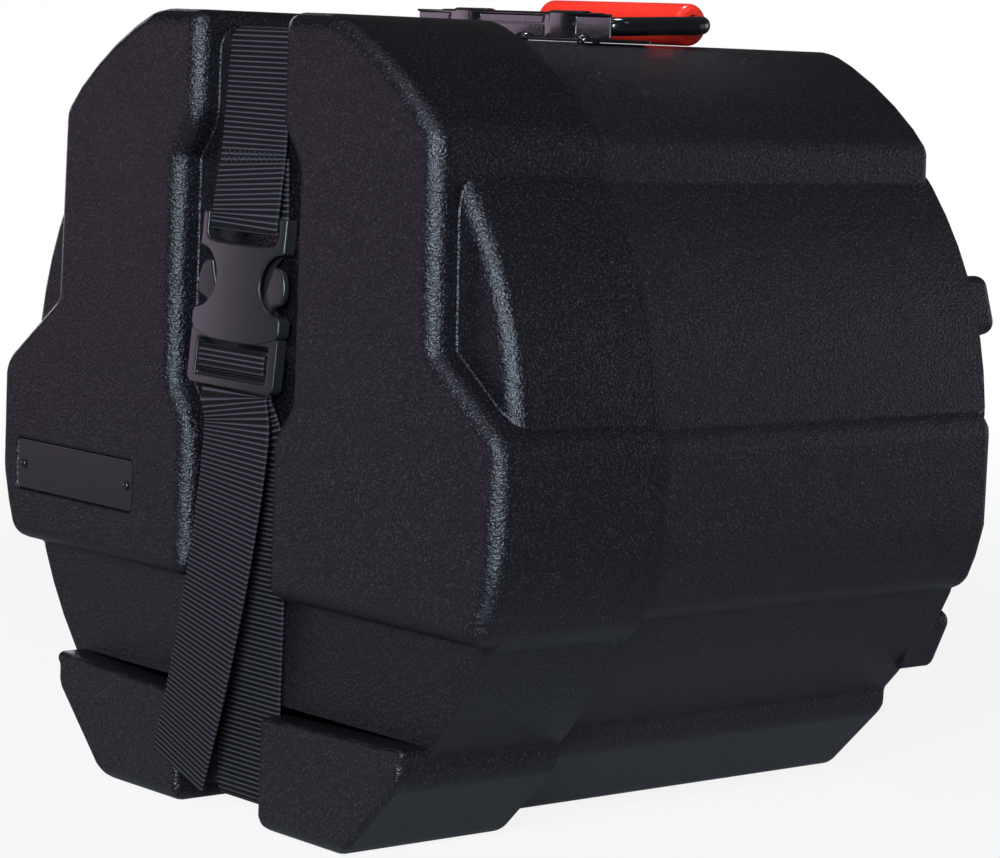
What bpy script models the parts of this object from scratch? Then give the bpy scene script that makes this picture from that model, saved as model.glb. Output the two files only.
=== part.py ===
"""A moulded case for a tom drum, standing on its feet with the drum's axis level.

Metres, +Z up, +X to the right of someone who faces the lid, +Y from the lid to the back.
Sizes that run along the case are first given from the front plane of the lid's raised pads.
"""

import math

import bmesh
import bpy
from mathutils import Matrix, Vector

# The clearance that touching pieces keep
SEAT_GAP = 0.0003
# How far joined solids run into each other, and how far hollows do
JOIN_OVERLAP = 0.0025
HOLLOW_OVERLAP = 0.001

# Case shells
CASE_HEIGHT = 0.399
CASE_DEPTH = 0.3388
SEAM_DEPTH = 0.0992
SHELL_WALL = 0.005
PAD_WALL = 0.0056
LID_FIT_GAP = 0.0038
EDGE_ROUND = 0.006
EDGE_SHOULDER = 0.0018
PAD_HEIGHT = 0.015
END_PAD_THICKNESS = 0.012
LINER_THINNEST = 0.0059

# Outline of the lid, seen from the front: steps outwards from its flat top, and heights from its middle
SHOULDER_RISE = 0.014
SHOULDER_STEP = 0.0123
SHOULDER_STEP_X = 0.155
HIP_STEP = 0.0068
HIP_TOP_RISE = 0.0085
HIP_BOTTOM_DROP = 0.0845
HIP_LEDGE_DROP = 0.006
LOWER_CENTRE_DROP = 0.006
FOOT_HALF_WIDTH = 0.1445
FOOT_SIDE_HEIGHT = 0.0102
TOP_CHANNEL_DEPTH = 0.0095
BOTTOM_CHANNEL_DEPTH = 0.009
ARC_STEP = math.radians(6)

# Raised pads on the lid's front
CHANNEL_HALF_WIDTH = 0.0345
BUCKLE_BAY_HALF_WIDTH = 0.0485
BAY_TOP_RISE = 0.1355
BAY_BOTTOM_RISE = 0.004
BAY_STEP_RISE = 0.018
PAD_KINK_OUT = 0.0026
PAD_KINK_RISE = 0.0477
FOOT_PAD_SIDE_HEIGHT = 0.0177
FOOT_PAD_INNER_DROP = 0.004

# Moulded feet of the body
REAR_FOOT_LENGTH = 0.0175
REAR_FOOT_RADIAL = 0.021
REAR_FOOT_TANGENTIAL = 0.031
# The middle of each right foot's outer face: its angle about the case's middle, how far it lies inside
# the round side, and the way that it looks
REAR_FEET = ((math.radians(20.24), 0.0104, math.radians(18)), (math.radians(-36.05), 0.0058, math.radians(-24)))
GROUND_FOOT_WIDTH = 0.030
GROUND_FOOT_LENGTH = 0.034
GROUND_FOOT_X = 0.052
GROUND_FOOT_BACK_GAP = 0.014

# Webbing
STRAP_WIDTH = 0.050
STRAP_THICKNESS = 0.0018
STRAP_POCKET_DEPTH = 0.0022
STRAP_POCKET_START = 0.145
STRAP_SPLIT_DEPTH = 0.0225
CORNER_BEND_RADIUS = 0.006
SEWN_LOOP_LENGTH = 0.0285
ANCHOR_RIVET_X = 0.013
ANCHOR_SETBACK = 0.006
ANCHOR_PLATE_LENGTH = 0.020
ANCHOR_POCKET_LENGTH = 0.040
LOCK_LEAD = 0.004
TAIL_LEAD_SHARE = 0.6
TAIL_START_SHARE = 0.85
# Where the tail meets and leaves the lock's bars, in degrees from their inward side upwards
TAIL_ONTO_LOCK = 40
TAIL_OFF_LOCK = 245
TAIL_ONTO_END_BAR = 65
TAIL_END_Z = 0.0195
TAIL_END_X = -0.0275
TAIL_END_TURN = math.radians(-4)
TAIL_PROUD = 0.0060
UPPER_STRAP_X = 0.0017
LOWER_STRAP_X = 0.0085
LOWER_STRAP_FLAT_DROP = 0.0882
LOWER_STRAP_FREE_DROP = 0.0682
SEAM_TURN_SHARE = 0.6
# The tail's way down: share of its height, of its drift to the left and of its way out to the front
TAIL_HANG = ((0.09, -0.06, 0.10), (0.20, -0.04, 0.25), (0.33, 0.05, 0.40), (0.47, 0.19, 0.55),
             (0.61, 0.36, 0.70), (0.75, 0.56, 0.83), (0.88, 0.78, 0.93), (1.0, 1.0, 1.0))

# Buckle, in its own axes: across, towards the case, and up
BUCKLE_CENTRE_X = 0.0032
BUCKLE_CENTRE_DEPTH = 0.0044
BUCKLE_CENTRE_RISE = 0.0537
BUCKLE_YAW = math.radians(4)
BUCKLE_PITCH = math.radians(4.5)
BUCKLE_ROLL = math.radians(1)
BUCKLE_EDGE = 0.0011
BUCKLE_THICKNESS = 0.0086
BUCKLE_WALL = 0.0019
RECEIVER_BOTTOM = -0.011
RECEIVER_HEIGHT = 0.058
RECEIVER_HALF_WIDTH = 0.0333
RECEIVER_WAIST_HALF_WIDTH = 0.0318
RECEIVER_SHOULDER_DROP = 0.0025
WINDOW_CENTRE = 0.0145
WINDOW_HALF_HEIGHT = 0.0152
WINDOW_INNER = 0.0165
CAVITY_HALF_WIDTH = 0.0255
CAVITY_TOP = 0.031
BAR_SLOT_HALF_WIDTH = 0.0268
TOP_BAR_HEIGHT = 0.0065
TOP_SLOT_HEIGHT = 0.0075
TOP_BAR_THICKNESS = 0.004
INSERT_HALF_WIDTH = 0.0328
INSERT_THICKNESS = 0.0066
INSERT_RAIL_HEIGHT = 0.0045
LOCK_SLOT_HEIGHT = 0.005
LOCK_BAR_HEIGHT = 0.007
END_BAR_HEIGHT = 0.0055
LOCK_BAR_THICKNESS = 0.003
TONGUE_HALF_WIDTH = 0.004
TONGUE_LENGTH = 0.030
PRONG_ROOT_X = 0.0178
PRONG_WIDTH = 0.0038
PRONG_LENGTH = 0.034
PRONG_REACH = 0.033
# The right prong's nose, as shares of its reach and of its length
PRONG_NOSE = ((0.35, 1.0), (0.62, 1.0), (0.86, 0.88), (1.0, 0.70), (0.92, 0.54))
PRONG_NECK = (0.35, 0.82)
PRONG_LEG_SHARE = 0.45
PRONG_HEEL_SHARE = 0.85
PRONG_SOLE_SHARE = 0.6

# Carrying handle
BRACKET_SETBACK = 0.006
HINGE_HEIGHT = 0.0083
BAIL_ROD_RADIUS = 0.0048
BAIL_HALF_WIDTH = 0.071
BAIL_LENGTH = 0.069
BAIL_HINGE_BEND = 0.009
BAIL_GRIP_BEND = 0.014
GRIP_RADIUS = 0.011
GRIP_END_ROUND = 0.0024
BRACKET_SIDE_GAP = 0.0007
BRACKET_SHEET = 0.0018
BRACKET_WALL = 0.0012
BRACKET_FRONT_REACH = 0.024
BRACKET_BACK_REACH = 0.024
BRACKET_LIP = 0.0015
BRACKET_WALL_HEIGHT = 0.0145
KNUCKLE_RADIUS = 0.0077
KNUCKLE_INNER_X = 0.025
KNUCKLE_OUTER_X = 0.051
HANDLE_RIVET_PITCH = 0.0435
HANDLE_RIVET_FRONT = 0.016
BACK_RIVET_X = 0.040
BACK_RIVET_REACH = 0.017
BACKING_SHEET = 0.0015
BACKING_HALF_WIDTH = 0.0695
BACKING_MARGIN = 0.006
RIVET_SHANK_RADIUS = 0.0020
RIVET_HEAD_RADIUS = 0.0045
RIVET_HEAD_HEIGHT = 0.0020
RIVET_DOME_RADIUS = 0.0041
RIVET_DOME_HEIGHT = 0.0009
RIVET_CROWN_RADIUS = 0.0025
RIVET_TAIL_RADIUS = 0.0032
RIVET_TAIL_HEIGHT = 0.0012

# Label plate
LABEL_SIDE_INSET = 0.019
LABEL_WIDTH = 0.108
LABEL_HEIGHT = 0.0265
LABEL_TOP_DROP = 0.0305
LABEL_POCKET_DEPTH = 0.0025
LABEL_THICKNESS = 0.0015
LABEL_RIVET_INSET = 0.0055
LABEL_RIVET_SHANK = 0.0012
LABEL_RIVET_HEAD = 0.0024
LABEL_RIVET_CROWN = 0.0015
LABEL_RIVET_HEAD_HEIGHT = 0.0014
LABEL_RIVET_GRIP_EXTRA = 0.0012

# How finely round pieces are faceted
RIVET_SIDES = 12
SMALL_RIVET_SIDES = 10
ROD_SIDES = 12
KNUCKLE_SIDES = 20
GRIP_SIDES = 24
BORE_SIDES = 16
LINER_SIDES = 48
BEND_STEPS = 4

# Sizes that follow
CENTRE_Z = CASE_HEIGHT / 2
SHOULDER_RADIUS = CENTRE_Z + SHOULDER_RISE
ROUND_RADIUS = SHOULDER_RADIUS - SHOULDER_STEP
HIP_HALF_WIDTH = ROUND_RADIUS + HIP_STEP
HIP_TOP_Z = CENTRE_Z + HIP_TOP_RISE
HIP_BOTTOM_Z = CENTRE_Z - HIP_BOTTOM_DROP
LOWER_CENTRE_Z = CENTRE_Z - LOWER_CENTRE_DROP
FOOT_CORNER_Z = LOWER_CENTRE_Z - math.sqrt(ROUND_RADIUS ** 2 - FOOT_HALF_WIDTH ** 2) - FOOT_SIDE_HEIGHT
FOOT_PAD_TOP_Z = FOOT_CORNER_Z + FOOT_PAD_SIDE_HEIGHT
LABEL_LEFT = LABEL_SIDE_INSET - HIP_HALF_WIDTH
LABEL_RIGHT = LABEL_LEFT + LABEL_WIDTH
LABEL_TOP_Z = CENTRE_Z - LABEL_TOP_DROP
LABEL_BOTTOM_Z = LABEL_TOP_Z - LABEL_HEIGHT
BODY_INSET = SHELL_WALL + LID_FIT_GAP
BODY_TOP_Z = CASE_HEIGHT - BODY_INSET
BODY_BOTTOM_Z = BODY_INSET
LID_FLOOR = PAD_HEIGHT + SHELL_WALL
RIM_DEPTH = LID_FLOOR + END_PAD_THICKNESS + 2 * SEAT_GAP
LINER_ROOM = BODY_INSET + SHELL_WALL + SEAT_GAP
LINER_BORE_RADIUS = CENTRE_Z - max(TOP_CHANNEL_DEPTH, BOTTOM_CHANNEL_DEPTH) - LINER_ROOM - LINER_THINNEST
COLLAR_BACK_DEPTH = STRAP_POCKET_START + SHELL_WALL
HINGE_DEPTH = COLLAR_BACK_DEPTH + BRACKET_SETBACK + BRACKET_FRONT_REACH
BRACKET_HALF_WIDTH = BAIL_HALF_WIDTH + BAIL_ROD_RADIUS + BRACKET_SIDE_GAP
ANCHOR_DEPTH = COLLAR_BACK_DEPTH + ANCHOR_SETBACK + ANCHOR_PLATE_LENGTH / 2
BUCKLE_CENTRE_Z = CENTRE_Z + BUCKLE_CENTRE_RISE
HALF_STRAP = STRAP_WIDTH / 2
HALF_WEB = STRAP_THICKNESS / 2
FRONT_Y = -(CASE_DEPTH + REAR_FOOT_LENGTH - TAIL_PROUD) / 2

PLASTIC = ("Shell plastic", (0.016, 0.015, 0.017), 0.55, 0.0)
FOAM = ("Grey foam", (0.10, 0.10, 0.105), 0.95, 0.0)
STEEL = ("Black steel", (0.02, 0.02, 0.021), 0.28, 0.9)
GRIP_RED = ("Red grip", (0.80, 0.03, 0.015), 0.45, 0.0)
WEBBING = ("Black webbing", (0.018, 0.018, 0.020), 0.7, 0.0)
BUCKLE_PLASTIC = ("Buckle plastic", (0.014, 0.014, 0.016), 0.3, 0.0)
LABEL_FINISH = ("Label plate", (0.03, 0.03, 0.035), 0.35, 0.2)


def clear_scene():
    for old in list(bpy.data.objects):
        bpy.data.objects.remove(old, do_unlink=True)


def material(finish):
    """Returns the Principled material of a finish, made once."""
    name, colour, roughness, metallic = finish
    found = bpy.data.materials.get(name)
    if found:
        return found
    made = bpy.data.materials.new(name)
    made.use_nodes = True
    shader = made.node_tree.nodes["Principled BSDF"]
    shader.inputs["Base Color"].default_value = (*colour, 1)
    shader.inputs["Roughness"].default_value = roughness
    shader.inputs["Metallic"].default_value = metallic
    return made


def add_object(name, bm, finish=None):
    """Adds a closed bmesh as an object with its own material, or as a hidden cutter."""
    bmesh.ops.recalc_face_normals(bm, faces=bm.faces)
    mesh = bpy.data.meshes.new(name)
    bm.to_mesh(mesh)
    bm.free()
    made = bpy.data.objects.new(name, mesh)
    bpy.context.scene.collection.objects.link(made)
    if finish:
        mesh.materials.append(material(finish))
        mesh.shade_smooth()
        mesh.set_sharp_from_angle(angle=math.radians(30))
    else:
        made.hide_render = True
        made.display_type = "WIRE"
    return made


def boolean(target, cutter, operation="DIFFERENCE"):
    step = target.modifiers.new(cutter.name, "BOOLEAN")
    step.operation = operation
    step.solver = "EXACT"
    step.object = cutter


def depth(value):
    """World Y of a depth that is counted from the front plane of the pads."""
    return FRONT_Y + value


# Solids from simple outlines

def loft(sections):
    """Joins outlines of equal length, given as lists of points, and closes both ends."""
    bm = bmesh.new()
    rings = [[bm.verts.new(point) for point in section] for section in sections]
    bm.faces.new(rings[0])
    bm.faces.new(rings[-1])
    for near, far in zip(rings, rings[1:]):
        for i in range(len(near)):
            j = (i + 1) % len(near)
            bm.faces.new((near[i], near[j], far[j], far[i]))
    return bm


def upright_loft(outline, steps):
    """A loft along Y. Each step is a depth and how far the outline is drawn in there."""
    return loft([[(x, depth(y), z) for x, z in inset(outline, amount)] for y, amount in steps])


def box(low, high):
    """A box between two corners; Y is a depth."""
    centre = [(a + b) / 2 for a, b in zip(low, high)]
    size = [b - a for a, b in zip(low, high)]
    place = Matrix.Translation((centre[0], depth(centre[1]), centre[2])) @ Matrix.Diagonal((*size, 1))
    bm = bmesh.new()
    bmesh.ops.create_cube(bm, size=1, matrix=place)
    return bm


def turned(profile, centre, axis="Z", sides=BORE_SIDES):
    """A solid of revolution about an axis through centre; profile holds radius and height pairs."""
    quarter = math.pi / 2
    aims = {"Z": Matrix(), "X": Matrix.Rotation(quarter, 4, "Y"), "Y": Matrix.Rotation(-quarter, 4, "X")}
    place = Matrix.Translation((centre[0], depth(centre[1]), centre[2])) @ aims[axis]
    sections = []
    for radius, height in profile:
        turns = [2 * math.pi * k / sides for k in range(sides)]
        ring = [Vector((radius * math.cos(turn), radius * math.sin(turn), height)) for turn in turns]
        sections.append([place @ point for point in ring])
    return loft(sections)


def pin_cutter(name, radius, low, high, centre, axis="Z", sides=BORE_SIDES):
    return add_object(name, turned(((radius, low), (radius, high)), centre, axis, sides))


def cut_rivet_holes(piece, places, z):
    """Cuts clearance holes for upright rivets through a piece near a height; places hold X and depth."""
    reach = 2 * SHELL_WALL
    for k, (x, y) in enumerate(places):
        name = "%s_hole_%d" % (piece.name, k)
        cutter = pin_cutter(name, RIVET_SHANK_RADIUS + SEAT_GAP, -reach, reach, (x, y, z), sides=RIVET_SIDES)
        boolean(piece, cutter)


def inset(outline, amount):
    """Draws a closed outline in by an amount, corner by corner, along its mitres."""
    if amount == 0:
        return list(outline)
    area = sum(a[0] * b[1] - b[0] * a[1] for a, b in zip(outline, outline[1:] + outline[:1]))
    side = 1 if area > 0 else -1
    drawn = []
    for i, point in enumerate(outline):
        before = Vector(point) - Vector(outline[i - 1])
        after = Vector(outline[(i + 1) % len(outline)]) - Vector(point)
        before.normalize()
        after.normalize()
        n1 = Vector((-before.y, before.x)) * side
        n2 = Vector((-after.y, after.x)) * side
        mitre = (n1 + n2) / (1 + n1.dot(n2))
        drawn.append((point[0] + mitre.x * amount, point[1] + mitre.y * amount))
    return drawn


def arc(centre, radius, start, end):
    """Points from one angle to another, both ends included."""
    steps = max(1, round(abs(end - start) / ARC_STEP))
    angles = [start + (end - start) * k / steps for k in range(steps + 1)]
    return [(centre[0] + radius * math.cos(a), centre[1] + radius * math.sin(a)) for a in angles]


def mirrored(half):
    """Closes an outline from its right half, given from the top middle to the bottom middle."""
    return half + [(-x, z) for x, z in reversed(half)]


# Outlines of the case

def shoulder_arc():
    """The raised arc between the flat top and the shoulder step."""
    flat = math.asin((CASE_HEIGHT - CENTRE_Z) / SHOULDER_RADIUS)
    step = math.acos(SHOULDER_STEP_X / SHOULDER_RADIUS)
    return arc((0, CENTRE_Z), SHOULDER_RADIUS, flat, step)


def hip_side():
    """The hip from its top corner down its side and round to its lower edge."""
    lowest = math.asin((HIP_BOTTOM_Z - CENTRE_Z) / SHOULDER_RADIUS)
    side = -math.acos(min(1, HIP_HALF_WIDTH / SHOULDER_RADIUS))
    return [(HIP_HALF_WIDTH, HIP_TOP_Z)] + arc((0, CENTRE_Z), SHOULDER_RADIUS, side, lowest)


def side_circle():
    """The round side from under the shoulder step to the hip's ledge, which runs at 45 degrees."""
    start = math.acos(SHOULDER_STEP_X / ROUND_RADIUS)
    ledge_sum = HIP_HALF_WIDTH + HIP_TOP_Z - CENTRE_Z
    end = math.acos(ledge_sum / (ROUND_RADIUS * math.sqrt(2))) + math.pi / 4
    end = math.pi / 2 - end
    return arc((0, CENTRE_Z), ROUND_RADIUS, start, end)


def lower_circle():
    """The round side from the hip's underside to the foot."""
    start = math.asin((HIP_BOTTOM_Z - HIP_LEDGE_DROP - LOWER_CENTRE_Z) / ROUND_RADIUS)
    end = -math.acos(FOOT_HALF_WIDTH / ROUND_RADIUS)
    return arc((0, LOWER_CENTRE_Z), ROUND_RADIUS, start, end)


def foot_corner():
    """The foot's outer corner, then its lower corner on the ground."""
    return [(FOOT_HALF_WIDTH, FOOT_CORNER_Z), (FOOT_HALF_WIDTH - FOOT_CORNER_Z, 0.0)]


def case_outline(channels=True):
    """The lid's outline from the front; the body and the hollows are drawn in from it."""
    half = []
    if channels:
        half += [(CHANNEL_HALF_WIDTH, CASE_HEIGHT - TOP_CHANNEL_DEPTH), (CHANNEL_HALF_WIDTH, CASE_HEIGHT)]
    half += shoulder_arc() + side_circle() + hip_side() + lower_circle() + foot_corner()
    if channels:
        half += [(CHANNEL_HALF_WIDTH, 0.0), (CHANNEL_HALF_WIDTH, BOTTOM_CHANNEL_DEPTH)]
    return mirrored(half)


def pad_outline():
    """The right raised pad: channel side from the bottom to the top, then the outer side down."""
    step = CHANNEL_HALF_WIDTH
    bay = BUCKLE_BAY_HALF_WIDTH
    rise = BAY_STEP_RISE / 2
    bay_low = CENTRE_Z + BAY_BOTTOM_RISE
    bay_top = CENTRE_Z + BAY_TOP_RISE
    inner = [(step, HIP_BOTTOM_Z), (step, bay_low - rise), (bay, bay_low + rise),
             (bay, bay_top - rise), (step, bay_top + rise), (step, CASE_HEIGHT)]
    kink = (SHOULDER_STEP_X + PAD_KINK_OUT, CENTRE_Z + PAD_KINK_RISE)
    return inner + shoulder_arc() + [kink] + hip_side()


def foot_outline():
    """The right foot pad on the lid's front."""
    step = CHANNEL_HALF_WIDTH
    return [(step, 0.0), (step, FOOT_PAD_TOP_Z - FOOT_PAD_INNER_DROP),
            (FOOT_HALF_WIDTH, FOOT_PAD_TOP_Z)] + foot_corner()


def flipped(outline):
    return [(-x, z) for x, z in reversed(outline)]


# Shells

def rounded_front(outline, front, back):
    """A block whose front edge is rounded in two facets."""
    steps = ((front, EDGE_ROUND), (front + EDGE_SHOULDER, EDGE_SHOULDER), (front + EDGE_ROUND, 0.0),
             (back, 0.0))
    return upright_loft(outline, steps)


def front_blocks():
    """The names and outlines of the four raised blocks on the lid's front."""
    return (("pad_right", pad_outline()), ("pad_left", flipped(pad_outline())),
            ("foot_pad_right", foot_outline()), ("foot_pad_left", flipped(foot_outline())))


def label_box(margin, front, back):
    """The label's rectangle, drawn in by a margin, between two depths."""
    return box((LABEL_LEFT + margin, front, LABEL_BOTTOM_Z + margin),
               (LABEL_RIGHT - margin, back, LABEL_TOP_Z - margin))


def label_rivet_places():
    middle = (LABEL_BOTTOM_Z + LABEL_TOP_Z) / 2
    return ((LABEL_LEFT + LABEL_RIVET_INSET, middle), (LABEL_RIGHT - LABEL_RIVET_INSET, middle))


def make_lid_shell():
    """The lid: a round-sided cap with raised pads, hollow behind, and a pocket for the label."""
    outline = case_outline()
    lid = add_object("lid_shell", rounded_front(outline, PAD_HEIGHT, SEAM_DEPTH), PLASTIC)
    back = PAD_HEIGHT + EDGE_ROUND + JOIN_OVERLAP
    for name, block in front_blocks():
        boolean(lid, add_object(name, rounded_front(block, 0.0, back)), "UNION")
    hollow = upright_loft(outline, ((LID_FLOOR, SHELL_WALL), (SEAM_DEPTH + SHELL_WALL, SHELL_WALL)))
    boolean(lid, add_object("lid_hollow", hollow))
    for name, block in front_blocks():
        steps = ((PAD_WALL, PAD_WALL), (LID_FLOOR + HOLLOW_OVERLAP, PAD_WALL))
        boolean(lid, add_object(name + "_hollow", upright_loft(block, steps)))
    boolean(lid, add_object("label_pocket", label_box(0.0, -SHELL_WALL, LABEL_POCKET_DEPTH)))
    for k, (x, z) in enumerate(label_rivet_places()):
        hole = LABEL_RIVET_SHANK + SEAT_GAP
        cutter = pin_cutter("label_hole_%d" % k, hole, 0, 2 * SHELL_WALL, (x, 0, z), "Y", SMALL_RIVET_SIDES)
        boolean(lid, cutter)


def rear_foot(side, polar, inside, angle):
    """One moulded foot on the body's back, a block whose outer face is turned by an angle."""
    radius = ROUND_RADIUS - inside
    x = radius * math.cos(polar)
    z = CENTRE_Z + radius * math.sin(polar)
    length = REAR_FOOT_LENGTH + SHELL_WALL
    place = (Matrix.Translation((side * x, depth(CASE_DEPTH + REAR_FOOT_LENGTH - length / 2), z))
             @ Matrix.Rotation(-side * angle, 4, "Y")
             @ Matrix.Translation((-side * REAR_FOOT_RADIAL / 2, 0, 0))
             @ Matrix.Diagonal((REAR_FOOT_RADIAL, length, REAR_FOOT_TANGENTIAL, 1)))
    bm = bmesh.new()
    bmesh.ops.create_cube(bm, size=1, matrix=place)
    return bm


def handle_rivet_places():
    """X and depth of the handle's rivets: four in front of the hinge, two behind it."""
    front = HINGE_DEPTH - HANDLE_RIVET_FRONT
    back = HINGE_DEPTH + BACK_RIVET_REACH
    pitch = HANDLE_RIVET_PITCH
    places = [(pitch * (k - 1.5), front) for k in range(4)]
    return places + [(-BACK_RIVET_X, back), (BACK_RIVET_X, back)]


def anchor_rivet_places():
    return ((-ANCHOR_RIVET_X, ANCHOR_DEPTH), (ANCHOR_RIVET_X, ANCHOR_DEPTH))


def anchor_pocket_end():
    return STRAP_POCKET_START + ANCHOR_POCKET_LENGTH


def bracket_span():
    return HINGE_DEPTH - BRACKET_FRONT_REACH, HINGE_DEPTH + BRACKET_BACK_REACH


def top_pocket_end():
    return bracket_span()[1] - BACKING_MARGIN


def make_body_shell():
    """The body: a round-sided tub whose open front slides into the lid."""
    plain = case_outline(channels=False)
    channelled = case_outline()
    steps = ((STRAP_POCKET_START, BODY_INSET), (CASE_DEPTH - EDGE_ROUND, BODY_INSET),
             (CASE_DEPTH - EDGE_SHOULDER, BODY_INSET + EDGE_SHOULDER), (CASE_DEPTH, BODY_INSET + EDGE_ROUND))
    outer = upright_loft(plain, steps)
    body = add_object("body_shell", outer, PLASTIC)
    collar = upright_loft(channelled, ((RIM_DEPTH, BODY_INSET), (COLLAR_BACK_DEPTH, BODY_INSET)))
    boolean(body, add_object("body_collar", collar), "UNION")
    for side in (-1, 1):
        for k, (polar, inside, angle) in enumerate(REAR_FEET):
            foot = rear_foot(side, polar, inside, angle)
            boolean(body, add_object("rear_foot_%d_%d" % (side, k), foot), "UNION")
        back = CASE_DEPTH - GROUND_FOOT_BACK_GAP
        low = (side * GROUND_FOOT_X - GROUND_FOOT_WIDTH / 2, back - GROUND_FOOT_LENGTH, 0.0)
        high = (side * GROUND_FOOT_X + GROUND_FOOT_WIDTH / 2, back, BODY_BOTTOM_Z + JOIN_OVERLAP)
        boolean(body, add_object("ground_foot_%d" % side, box(low, high)), "UNION")
    wall = BODY_INSET + SHELL_WALL
    hollow = upright_loft(channelled, ((RIM_DEPTH - SHELL_WALL, wall), (COLLAR_BACK_DEPTH, wall)))
    boolean(body, add_object("collar_hollow", hollow))
    start = COLLAR_BACK_DEPTH - HOLLOW_OVERLAP
    hollow = upright_loft(plain, ((start, wall), (CASE_DEPTH - SHELL_WALL, wall)))
    boolean(body, add_object("body_hollow", hollow))
    cut_strap_pockets(body)
    cut_rivet_holes(body, handle_rivet_places(), BODY_TOP_Z)
    cut_rivet_holes(body, anchor_rivet_places(), BODY_BOTTOM_Z)


def cut_strap_pockets(body):
    """Shallow pockets that take the strap's ends under the handle and under the body."""
    half = HALF_STRAP + 2 * SEAT_GAP
    start = STRAP_POCKET_START - JOIN_OVERLAP
    low = (-half, start, BODY_TOP_Z - STRAP_POCKET_DEPTH)
    boolean(body, add_object("top_pocket", box(low, (half, top_pocket_end(), BODY_TOP_Z + SHELL_WALL))))
    high = (half, anchor_pocket_end(), BODY_BOTTOM_Z + STRAP_POCKET_DEPTH)
    boolean(body, add_object("bottom_pocket", box((-half, start, BODY_BOTTOM_Z - SHELL_WALL), high)))


# Foam

def backing_box(margin):
    """Space for the handle's backing plate and the rivet ends, widened by a margin."""
    front, back = bracket_span()
    top = BODY_TOP_Z - SHELL_WALL
    half = BACKING_HALF_WIDTH + margin
    low_z = top - BACKING_SHEET - RIVET_TAIL_HEIGHT - margin - SEAT_GAP
    return box((-half, front - margin, low_z), (half, back + margin, top + SHELL_WALL))


def anchor_box(margin):
    """Space for the strap's anchor plate and its rivet ends inside the body."""
    half = HALF_STRAP + margin
    reach = ANCHOR_PLATE_LENGTH / 2 + margin
    floor = BODY_BOTTOM_Z + SHELL_WALL
    top = floor + BACKING_SHEET + RIVET_TAIL_HEIGHT + margin + SEAT_GAP
    return box((-half, ANCHOR_DEPTH - reach, floor - SHELL_WALL), (half, ANCHOR_DEPTH + reach, top))


def make_side_liner():
    """Foam around the drum, with room for the backing plates, in two lengths as the shell is."""
    front = RIM_DEPTH + EDGE_ROUND
    back = CASE_DEPTH - SHELL_WALL - END_PAD_THICKNESS - 2 * SEAT_GAP
    split = COLLAR_BACK_DEPTH + SEAT_GAP
    rear = upright_loft(case_outline(channels=False), ((split, LINER_ROOM), (back, LINER_ROOM)))
    liner = add_object("body_side_liner", rear, FOAM)
    fore = upright_loft(case_outline(), ((front, LINER_ROOM), (split + SHELL_WALL, LINER_ROOM)))
    boolean(liner, add_object("liner_collar", fore), "UNION")
    bore = pin_cutter("liner_bore", LINER_BORE_RADIUS, 0, CASE_DEPTH, (0, 0, CENTRE_Z), "Y", LINER_SIDES)
    boolean(liner, bore)
    boolean(liner, add_object("liner_backing_room", backing_box(3 * SEAT_GAP)))
    boolean(liner, add_object("liner_anchor_room", anchor_box(3 * SEAT_GAP)))


def make_end_pads():
    """The foam discs that face the drum's two heads."""
    back = CASE_DEPTH - SHELL_WALL - SEAT_GAP
    steps = ((back - END_PAD_THICKNESS, LINER_ROOM), (back, LINER_ROOM))
    rear = upright_loft(case_outline(channels=False), steps)
    add_object("body_end_pad", rear, FOAM)
    front = LID_FLOOR + SEAT_GAP
    room = SHELL_WALL + SEAT_GAP
    fore = upright_loft(case_outline(), ((front, room), (front + END_PAD_THICKNESS, room)))
    add_object("lid_end_pad", fore, FOAM)


# Handle

def make_bracket():
    """The pressed steel hinge bracket: a base, a front wall with a lip, and two knuckles."""
    front, back = bracket_span()
    base_low = BODY_TOP_Z + SEAT_GAP
    base_top = base_low + BRACKET_SHEET
    axis_z = BODY_TOP_Z + HINGE_HEIGHT
    half = BRACKET_HALF_WIDTH
    bracket = add_object("handle_bracket", box((-half, front, base_low), (half, back, base_top)), STEEL)
    wall_back = HINGE_DEPTH - BAIL_ROD_RADIUS - 2 * SEAT_GAP
    wall_front = wall_back - BRACKET_WALL
    wall_top = BODY_TOP_Z + BRACKET_WALL_HEIGHT
    overlap = BRACKET_SHEET / 2
    wall = box((-half, wall_front, base_top - overlap), (half, wall_back, wall_top))
    boolean(bracket, add_object("bracket_wall", wall), "UNION")
    low = (-half, wall_front - BRACKET_LIP, wall_top - BRACKET_WALL)
    lip = box(low, (half, wall_back - overlap, wall_top))
    boolean(bracket, add_object("bracket_lip", lip), "UNION")
    length = KNUCKLE_OUTER_X - KNUCKLE_INNER_X
    for side in (-1, 1):
        start = KNUCKLE_INNER_X if side > 0 else -KNUCKLE_OUTER_X
        profile = ((KNUCKLE_RADIUS, 0), (KNUCKLE_RADIUS, length))
        knuckle = turned(profile, (start, HINGE_DEPTH, axis_z), "X", KNUCKLE_SIDES)
        boolean(bracket, add_object("bracket_knuckle_%d" % side, knuckle), "UNION")
    bore = BAIL_ROD_RADIUS + SEAT_GAP
    hinge = (0, HINGE_DEPTH, axis_z)
    boolean(bracket, pin_cutter("hinge_bore", bore, -half, half, hinge, "X", KNUCKLE_SIDES))
    cut_rivet_holes(bracket, handle_rivet_places(), base_low)


def make_plate(name, low, high, places):
    """A flat steel plate with rivet holes."""
    cut_rivet_holes(add_object(name, box(low, high), STEEL), places, low[2])


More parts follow.
